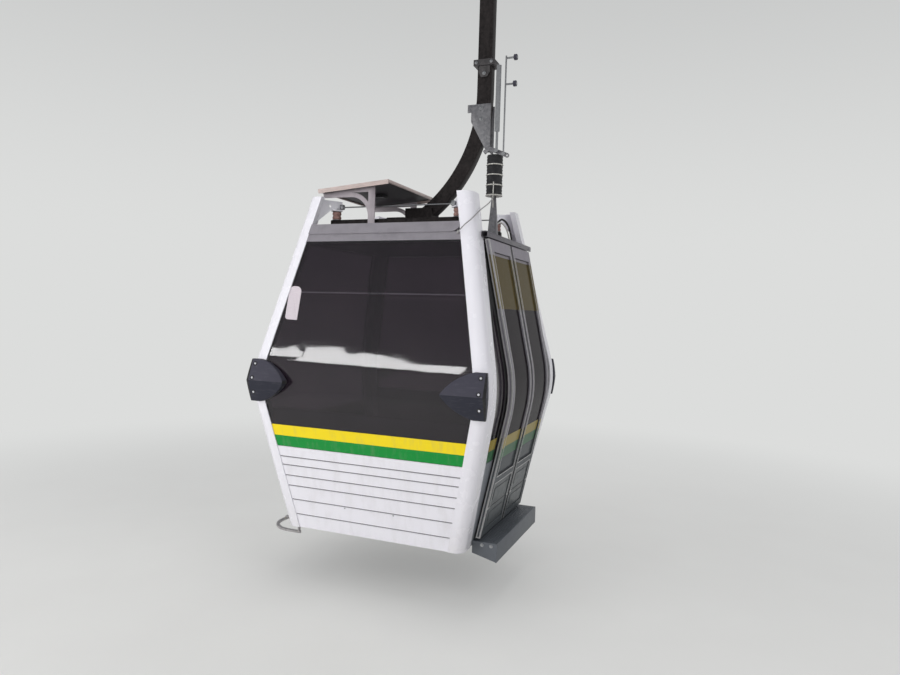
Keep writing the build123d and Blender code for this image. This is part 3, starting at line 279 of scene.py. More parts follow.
def tinted_pane():
    """Tinted polycarbonate, cast flat and bent warm: deep smoke, glossy, with fine wipe marks."""
    finish = Finish("tinted_polycarbonate", {"IOR": 1.5, "Specular IOR Level": 0.55,
                                             "Transmission Weight": 0.94})
    finish.coloured(finish.noise(2.5, 2), bpy.context.scene.cabin_colours.window_tint, "#564d58")
    # wipe marks run across, a few millimetres apart
    finish.roughened(finish.noise((6, 6, 90), 2), 0.4, 0.75, 0.02, 0.06)
    # bent sheet is never quite flat: slow waves, a hand's breadth long
    finish.embossed(finish.noise(4.5, 1), 0.12, 0.012)
    return finish.material


def leaf_pane():
    """Laminated glass of the leaves: a painted olive reflection in the upper field, smoke under it, grey foil
    at the foot.
    """
    finish = Finish("leaf_glass_with_painted_reflection", {"IOR": 1.08})
    # painted reflection: the upper field is olive for a warm reflection painted into the glass
    fields = finish.zoned((0, "#55595c"), (SMOKE_FOOT, "#3d363c"),
                          (OLIVE_REFLECTION_FOOT, "#5f5332"), (BAND_FOOT, "#8a858a"))
    smears = finish.noise((20, 20, 60), 5, 0.65)
    finish.coloured(finish.ranged(smears, 0.45, 0.8, 0, 0.08), fields, "#8d8683")
    # the field of painted olive reflection lets half the light through, the foil and the band none
    clear = finish.zoned((0, "#000000"), (SMOKE_FOOT, "#d8d8d8"),
                         (OLIVE_REFLECTION_FOOT, "#7a7a7a"), (BAND_FOOT, "#000000"))
    finish.wire(clear, "Transmission Weight")
    finish.roughened(smears, 0.4, 0.7, 0.05, 0.2)
    return finish.material


def printed_foil(name, colour):
    """Cast vinyl foil, printed and stuck on warm: even satin colour, soft roughness, grey dust in streaks."""
    finish = Finish(name, {"IOR": 1.5, "Specular IOR Level": 0.3})
    streaks = finish.noise((24, 24, 5), 5, 0.6)
    finish.coloured(finish.ranged(streaks, 0.5, 0.85, 0, 0.3), colour, "#8f8a80")
    finish.roughened(streaks, 0, 1, 0.3, 0.5)
    return finish.material


def anodised(name, hex_colour, rough_low, rough_high, metallic=0.85):
    """Anodised aluminium profile: pale grey, drawn lengthwise, so it has fine lines along its length."""
    finish = Finish(name, {"Metallic": metallic, "Anisotropic": 0.3})
    # die lines: hair-thin across, decimetres long
    lines = finish.noise((420, 420, 9), 4, 0.6)
    finish.roughened(lines, 0.3, 0.7, rough_low, rough_high)
    base = linear(hex_colour)
    dull = tuple(0.6 * value for value in base[:3]) + (1,)
    finish.coloured(finish.ranged(finish.noise(14, 5), 0.45, 0.75, 0, 0.35), base, dull)
    finish.embossed(lines, 0.06, 0.0006)
    return finish.material


def leaf_skin():
    """Aluminium leaf coloured by height: slate foil over its lower field, satin grey above it, a painted
    olive reflection in its upper field.
    """
    finish = Finish("leaf_with_painted_reflection", {"IOR": 1.5, "Specular IOR Level": 0.08})
    # painted reflection: the olive field of the frame matches the olive reflection painted into the glass
    fields = finish.zoned((0, "#565a5d"), (STILE_FOOT, "#86828a"),
                          (OLIVE_REFLECTION_FOOT, "#6f6447"), (BAND_FOOT, "#8d8890"))
    rub = finish.noise((60, 60, 7), 6, 0.65)
    finish.coloured(finish.ranged(rub, 0.5, 0.8, 0, 0.4), fields, "#86858a")
    finish.roughened(rub, 0.35, 0.7, 0.3, 0.5)
    finish.embossed(finish.noise(500, 1), 0.06, 0.001)
    return finish.material


def stucco_panel():
    """Stucco-embossed aluminium: hard orange-peel relief rolled in, about 6 mm from bead to bead."""
    finish = Finish("stucco_embossed_sheet", {"Metallic": 0.35, "IOR": 1.5})
    rub = finish.noise(22, 5)
    finish.coloured(rub, "#4e5255", "#626668")
    finish.roughened(rub, 0.3, 0.7, 0.32, 0.5)
    finish.embossed(finish.cells(165, {"feature": "SMOOTH_F1", "Smoothness": 0.6}), 0.5, 0.0012)
    return finish.material


def moulded_plastic():
    """Moulded polyethylene of the bumpers: dark grey, fine leather grain, scuffed paler where rubbed."""
    finish = Finish("moulded_polyethylene", {"IOR": 1.51, "Specular IOR Level": 0.3})
    scuffs = finish.noise((12, 12, 70), 8, 0.7)
    # painted light and shade: the upper facets are painted lighter and the lower ones darker, as light from
    # above would make them
    lit_and_shaded_facets = finish.zoned((0, "#272833"), (BUMPER_RIDGE, "#3f3e48"))
    finish.coloured(finish.ranged(scuffs, 0.52, 0.8, 0, 0.25), lit_and_shaded_facets, "#77767c")
    finish.roughened(scuffs, 0.35, 0.7, 0.42, 0.62)
    finish.embossed(finish.cells(520), 0.12, 0.0008)
    return finish.material


def rubber():
    """Extruded EPDM rubber: near black and matt, with a grey bloom on its ridges."""
    finish = Finish("black_rubber", {"Roughness": 0.62, "IOR": 1.5, "Sheen Weight": 0.15})
    finish.coloured(finish.ranged(finish.noise(45, 5, 0.65), 0.45, 0.8, 0, 0.6), "#151517", "#3c3b3d")
    finish.embossed(finish.noise(900, 2), 0.15, 0.0005)
    return finish.material


def galvanised(name, dark, pale):
    """Hot-dip galvanised steel: crystals of zinc 10 to 20 mm wide, each a little lighter or duller."""
    finish = Finish(name, {"Metallic": 0.75})
    tree = finish.tree
    moved = add(tree, "VectorMath", {"operation": "MULTIPLY_ADD", 1: (0.02, 0.02, 0.02)},
                {0: finish.noise(35, 3).outputs["Color"], 2: finish.at})
    spangle = add(tree, "TexVoronoi", {"Scale": 62}, {"Vector": moved})
    crystal = add(tree, "SeparateColor", {}, {0: spangle.outputs["Color"]})
    streak = finish.noise((26, 26, 3), 6, 0.65)
    tone = maths(tree, "MULTIPLY_ADD", crystal, 0.35, streak)
    finish.coloured(finish.ranged(tone, 0.4, 1), dark, pale)
    finish.roughened(tone, 0, 1, 0.38, 0.6)
    finish.embossed(streak, 0.1, 0.001)
    return finish.material


def zinc_plated():
    """Bright zinc-plated and turned steel: thin rings of tool marks, a few dull stains."""
    finish = Finish("zinc_plated_steel", {"Metallic": 1.0})
    stain = finish.noise(60, 6, 0.6)
    finish.roughened(stain, 0.35, 0.7, 0.3, 0.5)
    finish.coloured(stain, "#c4c5c8", "#8f9093")
    finish.embossed(finish.noise((90, 90, 1500), 2), 0.06, 0.0004)
    return finish.material


def solar_cells():
    """Solar glass over silicon cells: blue-black squares of 125 mm with thin silver bus lines."""
    finish = Finish("solar_glass", {"IOR": 1.5, "Coat Weight": 1.0, "Coat Roughness": 0.03})
    tree = finish.tree
    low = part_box("solar_panel")[0]
    corner = add(tree, "Mapping", {"Location": (-low.x, -low.y, 0)}, {"Vector": finish.at})
    split = add(tree, "SeparateXYZ", {}, {0: corner}).outputs
    lines = None
    # each cell is 125 mm square with a 3 mm gap, and two silver lines 2 mm wide cross it
    for axis, period, gap in (("X", 0.128, 0.003), ("Y", 0.128, 0.003), ("Y", 0.064, 0.002)):
        line = maths(tree, "LESS_THAN", maths(tree, "MODULO", split[axis], period), gap)
        lines = maths(tree, "MAXIMUM", lines, line) if lines else line
    mottle = finish.noise(25, 4)
    finish.coloured(lines, mixed(tree, mottle, "#141a2c", "#1d2740"), "#9aa0a8")
    finish.roughened(mottle, 0, 1, 0.06, 0.25)
    return finish.material


def mount_rubber():
    """Natural rubber of the roof mounts: reddish brown and matt, in clouds toward a pale pink that is partly
    its own colour and partly painted highlight.
    """
    finish = Finish("brown_natural_rubber", {"Roughness": 0.6, "IOR": 1.5})
    cloud = finish.noise(70, 5)
    # partly painted highlight: clouds run from brown to a pale pink
    finish.coloured(cloud, "#6b4a46", "#b08f86")
    finish.embossed(cloud, 0.15, 0.001)
    return finish.material


def seat_shell():
    """Moulded seat plastic: grey-blue, fine grain, polished by use on the sitting face."""
    finish = Finish("moulded_seat_plastic", {"IOR": 1.5})
    use = finish.noise(11, 4)
    finish.coloured(use, "#8d929b", "#a4a8ae")
    finish.roughened(use, 0, 1, 0.25, 0.5)
    finish.embossed(finish.cells(700), 0.1, 0.0005)
    return finish.material


def studded_floor():
    """Rubber floor covering with round studs every 28 mm, grey dust between them."""
    finish = Finish("studded_rubber_floor", {"Roughness": 0.6, "IOR": 1.5})
    studs = finish.cells(36, {"Randomness": 0.0, "voronoi_dimensions": "2D"})
    top = finish.ranged(studs, 0.36, 0.30, 0, 1, "SMOOTHSTEP")
    finish.coloured(top, "#4d4c4a", "#2e2e30")
    finish.embossed(top, 0.6, 0.001)
    return finish.material


def painted_casting():
    """Sand-cast iron under grey enamel: coarse skin, dark oil in the hollows, bare metal at worn places."""
    finish = Finish("enamelled_casting", {"IOR": 1.5})
    oil = finish.ranged(finish.noise(16, 5, 0.6), 0.45, 0.75)
    finish.coloured(oil, "#7c8085", "#3a3a3a")
    finish.roughened(oil, 0, 1, 0.55, 0.25)
    finish.embossed(finish.noise(260, 6, 0.7), 0.3, 0.001)
    return finish.material


def wheel_finish():
    """Running wheel: a black polyurethane tyre bonded round a machined aluminium hub."""
    finish = Finish("tyre_and_hub", {"IOR": 1.5})
    tree = finish.tree
    low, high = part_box("running_wheel_inner")
    middle = (low + high) / 2
    centred = add(tree, "Mapping", {"Location": (0, -middle.y, -middle.z), "Scale": (0, 1, 1)},
                  {"Vector": finish.at})
    radius = add(tree, "VectorMath", {"operation": "LENGTH"}, {0: centred})
    tyre = maths(tree, "GREATER_THAN", radius.outputs["Value"], HUB_RADIUS)
    wear = finish.noise(55, 5)
    finish.coloured(tyre, mixed(tree, wear, "#9c9ea1", "#6f7073"), mixed(tree, wear, "#222224", "#47464a"))
    finish.wire(finish.ranged(tyre, 0, 1, 0.95, 0), "Metallic")
    finish.roughened(tyre, 0, 1, 0.35, 0.6)
    return finish.material


def cable_sleeve(name, pale, dirty):
    """Extruded PVC sleeve of a push-pull cable: smooth and slightly dull, with fine dirt along it."""
    finish = Finish(name, {"Roughness": 0.4, "IOR": 1.53})
    finish.coloured(finish.noise(50, 5), pale, dirty)
    return finish.material


def acrylic_plate():
    """Back-painted acrylic sheet of the blank number plate: milky, with a glossy face and dull scratches."""
    finish = Finish("back_painted_acrylic", {"IOR": 1.49, "Coat Weight": 0.5})
    scratches = finish.noise((30, 30, 160), 6, 0.7)
    finish.coloured(scratches, "#d9d0d6", "#b9aeb5")
    finish.roughened(scratches, 0, 1, 0.25, 0.5)
    return finish.material


def back_sheet():
    """Laminated back sheet of the solar panel: dark film behind the cells, its weave a millimetre apart."""
    finish = Finish("solar_back_film", {"Roughness": 0.55, "IOR": 1.45})
    finish.coloured(finish.noise(8, 5), "#29282b", "#434144")
    finish.embossed(finish.noise(700, 2), 0.1, 0.0005)
    return finish.material


def ground():
    """Ground concrete of the studio floor: pale and soft near the cabin, as even as the backdrop far away."""
    finish = Finish("pale_concrete", {"Roughness": 0.75, "Specular IOR Level": 0.0})
    tree = finish.tree
    finish.coloured(finish.noise(1.3, 6), "#e4e3e0", "#dbd9d6")
    away = add(tree, "VectorMath", {"operation": "LENGTH"}, {0: place(tree, (1, 1, 0))}).outputs["Value"]
    far = finish.ranged(away, 1.5, 8.5, 0.35, 1, "SMOOTHSTEP")
    glow = add(tree, "Emission", {"Color": linear(HORIZON), "Strength": 1.0})
    share = maths(tree, "MULTIPLY", far, looked_at(tree))
    seen = add(tree, "MixShader", {}, {0: share, 1: finish.shader, 2: glow})
    tree.links.new(seen.outputs[0], finish.output.inputs["Surface"])
    return finish.material


def take(piece):
    """Selects a piece alone and makes it the active one."""
    bpy.ops.object.select_all(action="DESELECT")
    piece.select_set(True)
    bpy.context.view_layer.objects.active = piece


def edit(piece, picked="DESELECT"):
    """Opens a piece for modelling by its faces, with none of them picked or with all ("SELECT")."""
    take(piece)
    bpy.ops.object.mode_set(mode="EDIT")
    bpy.ops.mesh.select_mode(type="FACE")
    bpy.ops.mesh.select_all(action=picked)


def leave():
    """Leaves edit mode."""
    bpy.ops.object.mode_set(mode="OBJECT")


def pick_faces(piece, test):
    """Picks the faces of the open piece whose centre and normal pass the test."""
    mesh = bmesh.from_edit_mesh(piece.data)
    for face in mesh.faces:
        face.select_set(bool(test(face.calc_center_median(), face.normal)))
    bmesh.update_edit_mesh(piece.data)


def close(piece):
    """Leaves edit mode and puts the piece's place into its mesh."""
    if bpy.context.mode != "OBJECT":
        leave()
    take(piece)
    bpy.ops.object.transform_apply(location=True, rotation=True, scale=True)


def modify(piece, kind, **settings):
    """Adds a modifier to a piece and applies it."""
    take(piece)
    bpy.ops.object.modifier_add(type=kind)
    modifier = piece.modifiers[-1]
    for key, value in settings.items():
        setattr(modifier, key, value)
    bpy.ops.object.modifier_apply(modifier=modifier.name)


def bevel(piece, width, segments=2, **settings):
    """Rounds off the hard edges of a piece."""
    modify(piece, "BEVEL", width=width, segments=segments, limit_method="ANGLE", **settings)


def pressed(piece, facing, *steps):
    """Insets the faces that face one way and moves what is left of them along it: steps of (inset, rise)."""
    ahead = Vector(facing)
    edit(piece)
    pick_faces(piece, lambda centre, normal: normal.dot(ahead) > 0.9)
    for thickness, rise in steps:
        bpy.ops.mesh.inset(thickness=thickness)
        bpy.ops.transform.translate(value=rise * ahead)
    close(piece)


def copy_of(piece):
    """Copy of a piece with its own mesh."""
    copy = piece.copy()
    copy.data = piece.data.copy()
    bpy.context.scene.collection.objects.link(copy)
    return copy


def join(pieces):
    """Joins several pieces into the first."""
    take(pieces[0])
    for piece in pieces[1:]:
        piece.select_set(True)
    if len(pieces) > 1:
        bpy.ops.object.join()
    return pieces[0]


def outward(piece):
    """Merges doubles and turns every face outward."""
    edit(piece, "SELECT")
    bpy.ops.mesh.remove_doubles(threshold=0.00002)
    bpy.ops.mesh.normals_make_consistent(inside=False)
    leave()


def hand_over(piece, name, body, finish, angle=35.0):
    """Names a finished piece, smooths it, gives it its finish and hangs it on its body."""
    close(piece)
    piece.name = name
    piece.data.name = name
    piece.data.materials.clear()
    piece.data.materials.append(FINISH[finish])
    bpy.ops.object.shade_smooth_by_angle(angle=math.radians(angle))
    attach(piece, body)
    return piece


def flat_copy(node, flat):
    """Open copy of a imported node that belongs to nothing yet; faces as flat as `flat` degrees are one."""
    piece = copy_of(NODES[node])
    piece.parent = None
    for key in [key for key in piece.keys() if key.startswith("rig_")]:
        del piece[key]
    outward(piece)
    edit(piece, "SELECT")
    bpy.ops.mesh.dissolve_limited(angle_limit=math.radians(flat))
    return piece


def softened(node, width, name, body, finish):
    """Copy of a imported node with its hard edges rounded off, in the node's stead."""
    piece = flat_copy(node, 1.0)
    leave()
    bevel(piece, width, angle_limit=math.radians(32), use_clamp_overlap=True)
    hand_over(piece, name, body, finish, 40)
    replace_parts(piece, node)
    return piece


def skin(node, facing, cuts=(), share=0.6):
    """Outer skin of a node: the faces of a copy that face one way, cut off outside each (point, normal)."""
    piece = flat_copy(node, 0.6)
    ahead = Vector(facing)
    pick_faces(piece, lambda centre, normal: normal.dot(ahead) < share)
    bpy.ops.mesh.delete(type="FACE")
    for where, away in cuts:
        bpy.ops.mesh.select_all(action="SELECT")
        bpy.ops.mesh.bisect(plane_co=where, plane_no=away, clear_outer=True)
    leave()
    return piece


def between(low, high):
    """Cuts that keep what lies between two heights over the underside."""
    return (((0, 0, UNDERSIDE + low), (0, 0, -1)), ((0, 0, UNDERSIDE + high), (0, 0, 1)))


def border(piece, width, keep=None):
    """Keeps of a skin only a border along its edges, and of that only what `keep` lets stand."""
    edit(piece, "SELECT")
    bpy.ops.mesh.inset(thickness=width, use_boundary=True, use_even_offset=True)
    bpy.ops.mesh.delete(type="FACE")
    if keep:
        pick_faces(piece, lambda centre, normal: not keep(centre))
        bpy.ops.mesh.delete(type="FACE")
    leave()
    return piece


def laid_on(piece, height, name, body, finish):
    """Gives a skin its thickness outward and hands it over."""
    modify(piece, "SOLIDIFY", thickness=height, offset=1.0, use_even_offset=True)
    return hand_over(piece, name, body, finish)


def turned(profile, centre=(0, 0, 0), axis=(0, 0, 1), steps=40):
    """Closed piece spun from an outline of (radius, height) points round an axis through a point."""
    bpy.ops.mesh.primitive_circle_add(vertices=len(profile), radius=0.01)
    piece = bpy.context.active_object
    edit(piece)
    mesh = bmesh.from_edit_mesh(piece.data)
    for vert, (radius, height) in zip(mesh.verts, profile):
        vert.co = (radius, 0, height)
    bmesh.update_edit_mesh(piece.data)
    bpy.ops.mesh.select_mode(type="EDGE")
    bpy.ops.mesh.select_all(action="SELECT")
    bpy.ops.mesh.spin(steps=steps, angle=math.tau, center=(0, 0, 0), axis=(0, 0, 1))
    leave()
    outward(piece)
    piece.data.transform(Matrix.Translation(centre) @ toward(axis))
    return piece


def drawn(route, radius):
    """Round cable as a mesh, on one smooth NURBS line by points whose heights are over the underside."""
    curve = bpy.data.curves.new("cable_line", "CURVE")
    curve.dimensions = "3D"
    spline = curve.splines.new("NURBS")
    spline.points.add(len(route) - 1)
    for slot, where in zip(spline.points, route):
        slot.co = (*part(*where), 1)
    spline.order_u = 3
    spline.use_endpoint_u = True
    spline.resolution_u = 10
    curve.bevel_depth = radius
    curve.bevel_resolution = 3
    curve.use_fill_caps = True
    piece = bpy.data.objects.new("cable", curve)
    bpy.context.scene.collection.objects.link(piece)
    take(piece)
    bpy.ops.object.convert(target="MESH")
    return bpy.context.active_object


def slab(low, high):
    """Box between two corners, from a cube, open to more modelling."""
    low, high = Vector(low), Vector(high)
    bpy.ops.mesh.primitive_cube_add(size=1, location=(low + high) / 2, scale=high - low)
    piece = bpy.context.active_object
    close(piece)
    return piece


def part(x, y, z):
    """Point given by its height over the cabin's underside."""
    return Vector((x, y, UNDERSIDE + z))


def toward(direction):
    """Turn that brings +Z onto a direction."""
    return Vector((0, 0, 1)).rotation_difference(Vector(direction)).to_matrix().to_4x4()


# finish of each node, by the start of its name
NODE_FINISHES = {
    "corner_post": "gelcoat", "end_panel": "slats", "side_panel": "slats", "door_side_panels": "slate",
    "end_window": "pane", "side_window": "pane", "door_side_windows": "pane",
    "end_headers": "header", "side_header": "header", "door_header": "header", "roof_panel": "header",
    "door_front_frame": "leaf", "door_rear_frame": "leaf", "door_front_glass": "leaf_pane",
    "door_rear_glass": "leaf_pane", "door_front_panel": "stucco", "door_rear_panel": "stucco",
    "door_front_nose": "rubber", "door_rear_nose": "rubber", "door_rail": "rail", "door_sill": "rail",
    "corner_bumpers": "plastic", "floor_pan": "floor", "bench": "seat", "guide_skid": "galvanised",
    "hanger_tube": "hanger", "hanger_collar": "galvanised", "hanger_gussets": "galvanised",
    "suspension_beam": "hanger", "cable_bracket": "galvanised", "door_lever": "zinc", "door_push": "zinc",
    "door_roller_arms": "zinc", "bellows_rings": "galvanised", "door_bellows": "rubber",
    "suspension_rubbers": "mount", "tie_rods": "zinc", "release_cable": "sleeve",
    "solar_panel": "cells", "solar_brackets": "rail",
    "grip_body": "casting", "grip_jaw": "casting", "grip_lever": "casting", "grip_drive_plate": "zinc",
    "grip_springs": "zinc", "wheel_axle": "zinc", "swing_pin": "zinc", "running_wheel": "wheel",
}
FINISH = {}


def make_finishes():
    """Builds every finish once and keeps it by its short name."""
    FINISH.update({
        "gelcoat": gelcoat(), "slats": coated_slats(), "pane": tinted_pane(), "leaf_pane": leaf_pane(),
        "header": anodised("grey_anodised_header", "#8d898f", 0.34, 0.5, 0.2),
        "rail": anodised("mill_aluminium", "#a9aaac", 0.26, 0.44),
        "step": anodised("dark_step_plate", "#60646a", 0.38, 0.55, 0.2),
        "leaf": leaf_skin(), "stucco": stucco_panel(), "plastic": moulded_plastic(), "rubber": rubber(),
        "trim": anodised("bright_edge_trim", "#bdbcbc", 0.24, 0.38, 0.4),
        # painted shade: the hanger and the roof frame are galvanised steel painted near black for the shade
        # they hang in
        "hanger": galvanised("painted_shade_galvanised_steel", "#252222", "#3f3a3a"),
        "dark_galvanised": galvanised("dull_galvanised_steel", "#4a4849", "#656263"),
        "stand": anodised("satin_grey_sheet", "#a79fa4", 0.4, 0.55, 0.1),
        "solar_rim": anodised("champagne_rim", "#c3b3ae", 0.36, 0.5, 0.15),
        # painted light: the foot rail is galvanised steel painted paler to lift the shade it lies in under
        # the cabin
        "guide": galvanised("painted_light_galvanised_flat", "#a3a1a2", "#cac6c6"),
        "rail_cover": anodised("grey_door_rail", "#6d6a70", 0.34, 0.5, 0.4),
        "sash_edge": anodised("satin_sash_edge", "#5b565e", 0.3, 0.45, 0.2),
        "galvanised": galvanised("galvanised_steel", "#7d7c80", "#a9a8ab"), "zinc": zinc_plated(),
        "cells": solar_cells(), "mount": mount_rubber(), "seat": seat_shell(), "floor": studded_floor(),
        "casting": painted_casting(), "wheel": wheel_finish(), "ground": ground(),
        "sleeve": cable_sleeve("grey_pvc_sleeve", "#a19f9f", "#7d7b7a"),
        "white_sleeve": cable_sleeve("white_pvc_sleeve", "#dedcd6", "#a8a59e"),
        "yellow": printed_foil("yellow_foil", bpy.context.scene.cabin_colours.upper_stripe),
        "green": printed_foil("green_foil", bpy.context.scene.cabin_colours.lower_stripe),
        # painted shade: darker copies of the stripe foils for the leaves and the door side, which lie in
        # shade
        "leaf_yellow": printed_foil("painted_shade_yellow_foil", "#94833a"),
        "leaf_green": printed_foil("painted_shade_green_foil", "#2c5c3a"),
        "slate": printed_foil("slate_foil", "#7c8086"),
        "screw": anodised("polished_screw_heads", "#e2e2e6", 0.25, 0.35, 0.3),
        "plate": acrylic_plate(), "back": back_sheet(),
    })


def finish_of(node):
    """Finish of a node by the longest start of its name in the table."""
    keys = [key for key in NODE_FINISHES if node.startswith(key)]
    return FINISH[NODE_FINISHES[max(keys, key=len)]]


class CABIN_OT_finishes(bpy.types.Operator):
    """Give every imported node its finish"""
    bl_idname = "cabin.finishes"
    bl_label = "Node Finishes"

    def execute(self, context):
        make_finishes()
        for name, node in NODES.items():
            node.data.materials.clear()
            node.data.materials.append(finish_of(name))
        return {"FINISHED"}


def hex_bolt(size):
    """Flanged hexagon bolt standing on z = 0, with a chamfered head and a washer."""
    bpy.ops.mesh.primitive_cylinder_add(vertices=6, radius=size / math.sqrt(3), depth=0.6 * size,
                                        location=(0, 0, 0.42 * size))
    head = bpy.context.active_object
    bevel(head, 0.08 * size)
    bpy.ops.mesh.primitive_cylinder_add(vertices=24, radius=0.95 * size, depth=0.16 * size,
                                        location=(0, 0, 0.07 * size))
    washer = bpy.context.active_object
    pressed(washer, (0, 0, 1), (0.2 * size, 0.05 * size))
    bevel(washer, 0.03 * size, 1)
    close(head)
    return join([head, washer])


def dome_screw(size):
    """Low domed screw with a hexagon socket, standing on z = 0."""
    bpy.ops.mesh.primitive_cylinder_add(vertices=24, radius=size, depth=0.5 * size,
                                        location=(0, 0, 0.25 * size))
    screw = bpy.context.active_object
    pressed(screw, (0, 0, 1), (0.14 * size, 0.16 * size), (0.2 * size, 0.1 * size),
            (0.22 * size, -0.3 * size))
    return screw


def spread(model, rows, name, body, finish):
    """One piece from copies of a model: a row gives the place, the direction and the scale of a copy."""
    copies = []
    for where, direction, scale in rows:
        copy = copy_of(model)
        copy.data.transform(Matrix.Translation(where) @ toward(direction) @ Matrix.Scale(scale, 4))
        copies.append(copy)
    return hand_over(join(copies), name, body, finish, 30)


class CABIN_OT_bolts(bpy.types.Operator):
    """Set the bolts and screws on the posts, the hanger, the step board and the grip"""
    bl_idname = "cabin.bolts"
    bl_label = "Bolts and Screws"

    def execute(self, context):
        bolt = hex_bolt(context.scene.cabin_sizes.bolt_head)
        screw = dome_screw(0.45 * context.scene.cabin_sizes.bolt_head)
        hanger_x = sum(corner.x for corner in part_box("hanger_collar")) / 2
        gusset_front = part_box("hanger_gussets")[0].y
        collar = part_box("hanger_collar")[1]
        rows = []
        for side in (-1, 1):
            out = (0, side, 0)
            face = side * abs(gusset_front)
            rows += [(part(0.508, face, 3.215), out, 1.0), (part(0.512, face, 3.133), out, 1.0)]
            rows += [((hanger_x + step, side * collar.y, collar.z - 0.022), out, 0.8)
                     for step in (-0.06, 0.06)]
            rows.append(((hanger_x, side * (collar.y - 0.017), collar.z - 0.10), out, 0.9))
        # the two bolts in each cheek of the step board, the frame's bolts and the posts' seats
        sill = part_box("door_sill")[1]
        rows += [((sill.x - back, side * sill.y, sill.z - 0.022), (0, side, 0), 0.8)
                 for side in (-1, 1) for back in (0.11, 0.043)]
        for x_sign, y_sign in ((-1, -1), (1, -1), (-1, 1), (1, 1)):
            seat = part(x_sign * 0.5025, y_sign * 0.4425, 2.406)
            across = Vector((x_sign, -y_sign, 0)).normalized() * 0.024
            rows += [(seat + across, (0, 0, 1), 0.8), (seat - across, (0, 0, 1), 0.8)]
        bracket_low, bracket_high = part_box("cable_bracket")
        rows += [((x, y, bracket_low.z + 0.0118), (0, 0, 1), 0.7)
                 for x in (bracket_low.x + 0.008, bracket_high.x - 0.008) for y in (-0.022, 0.022)]
        spread(bolt, rows, "frame_bolts", "cabin", "zinc")

        # sunk screws of the bumpers: three down the outer edge of each
        down = ((1.230, 0.9122, 0.348), (1.129, 0.9474, 0.348), (1.024, 0.9283, -0.299))
        rows = [(part(x_sign * 0.877, y_sign * depth, height), (0, y_sign, lean), 1.0)
                for x_sign in (-1, 1) for y_sign in (-1, 1) for height, depth, lean in down]
        spread(screw, rows, "bumper_screws", "cabin", "screw")
        cup = turned(((0.0085, 0.0), (0.0150, 0.0), (0.0162, 0.001), (0.0155, 0.0024), (0.0120, 0.0024),
                      (0.0085, 0.0008)), steps=28)
        spread(cup, rows, "screw_cups", "cabin", "rubber")
        bpy.data.objects.remove(cup)

        # two screws in the lower panel of each end
        rows = [(part(x, y_sign * 0.7430, 0.206), (0, y_sign, -0.183), 0.7)
                for y_sign in (-1, 1) for x in (-0.1945, 0.1970)]
        spread(screw, rows, "panel_screws", "cabin", "zinc")

        # small screws along the door rail
        rail_low, rail_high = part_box("door_rail")
        rows = [((rail_high.x, y, rail_low.z + 0.016), (1, 0, 0), 0.75)
                for y in (-0.50, -0.25, 0.0, 0.25, 0.50)]
        spread(screw, rows, "rail_screws", "cabin", "zinc")

        # the grip: pin nuts, jaw bolts and the drive plate's screws
        pin_low, pin_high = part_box("swing_pin")
        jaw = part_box("grip_jaw")[0]
        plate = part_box("grip_drive_plate")[1]
        axle_low, axle_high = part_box("wheel_axle")
        axle_z = (axle_low.z + axle_high.z) / 2
        rows = [((pin_high.x - 0.004, 0, 0), (1, 0, 0), 2.4), ((pin_low.x + 0.004, 0, 0), (-1, 0, 0), 2.4)]
        rows += [((jaw.x, y, 0.035), (-1, 0, 0), 1.2) for y in (-0.105, -0.035, 0.035, 0.105)]
        rows += [((axle_high.x - 0.006, 0, axle_z), (1, 0, 0), 1.5),
                 ((axle_low.x + 0.006, 0, axle_z), (-1, 0, 0), 1.5)]
        rows += [((x, y, plate.z - 0.001), (0, 0, 1), 0.9) for x in (0.28, 0.57) for y in (-0.028, 0.028)]
        spread(bolt, rows, "grip_bolts", "grip", "zinc")
        for name in ("inner", "outer"):
            wheel_low, wheel_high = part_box("running_wheel_" + name)
            middle = (wheel_low + wheel_high) / 2
            depth = (wheel_high.x - wheel_low.x) / 2 - 0.0125
            rows = []
            for side in (-1, 1):
                for angle in (step * math.tau / 6 for step in range(6)):
                    offset = Vector((side * depth, 0.047 * math.cos(angle), 0.047 * math.sin(angle)))
                    rows.append((middle + offset, (side, 0, 0), 0.62))
            spread(bolt, rows, f"wheel_{name}_bolts", f"wheel_{name}", "zinc")
        for model in (bolt, screw):
            bpy.data.objects.remove(model)
        return {"FINISHED"}


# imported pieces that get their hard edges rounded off: node, width of the rounding, name, body, finish
ROUNDED = (
    ("hanger_tube", 0.008, "hanger_leg", "cabin", "hanger"),
    ("hanger_collar", 0.002, "leg_collar", "cabin", "dark_galvanised"),
    ("hanger_gussets", 0.002, "leg_gussets", "cabin", "galvanised"),
    ("door_lever", 0.003, "shut_lever", "cabin", "galvanised"),
    ("suspension_beam", 0.006, "roof_frame", "cabin", "hanger"),
    ("cable_bracket", 0.002, "cable_stand", "cabin", "galvanised"),
    ("corner_bumpers", 0.009, "bumpers", "cabin", "plastic"),
    ("solar_brackets", 0.001, "solar_stands", "cabin", "stand"),
    ("door_sill", 0.003, "step_board", "cabin", "step"),
    ("door_rail", 0.0015, "leaf_rail", "cabin", "rail_cover"),
    ("bench_front", 0.014, "front_bench", "cabin", "seat"),
    ("bench_rear", 0.014, "rear_bench", "cabin", "seat"),
    ("guide_skid", 0.004, "foot_rail", "cabin", "guide"),
    ("grip_body", 0.004, "grip_frame", "grip", "casting"),
    ("grip_jaw", 0.003, "moving_jaw", "grip", "casting"),
    ("grip_lever", 0.004, "clamp_lever", "grip", "casting"),
    ("running_wheel_inner", 0.0025, "inner_wheel", "wheel_inner", "wheel"),
    ("running_wheel_outer", 0.0025, "outer_wheel", "wheel_outer", "wheel"),
)


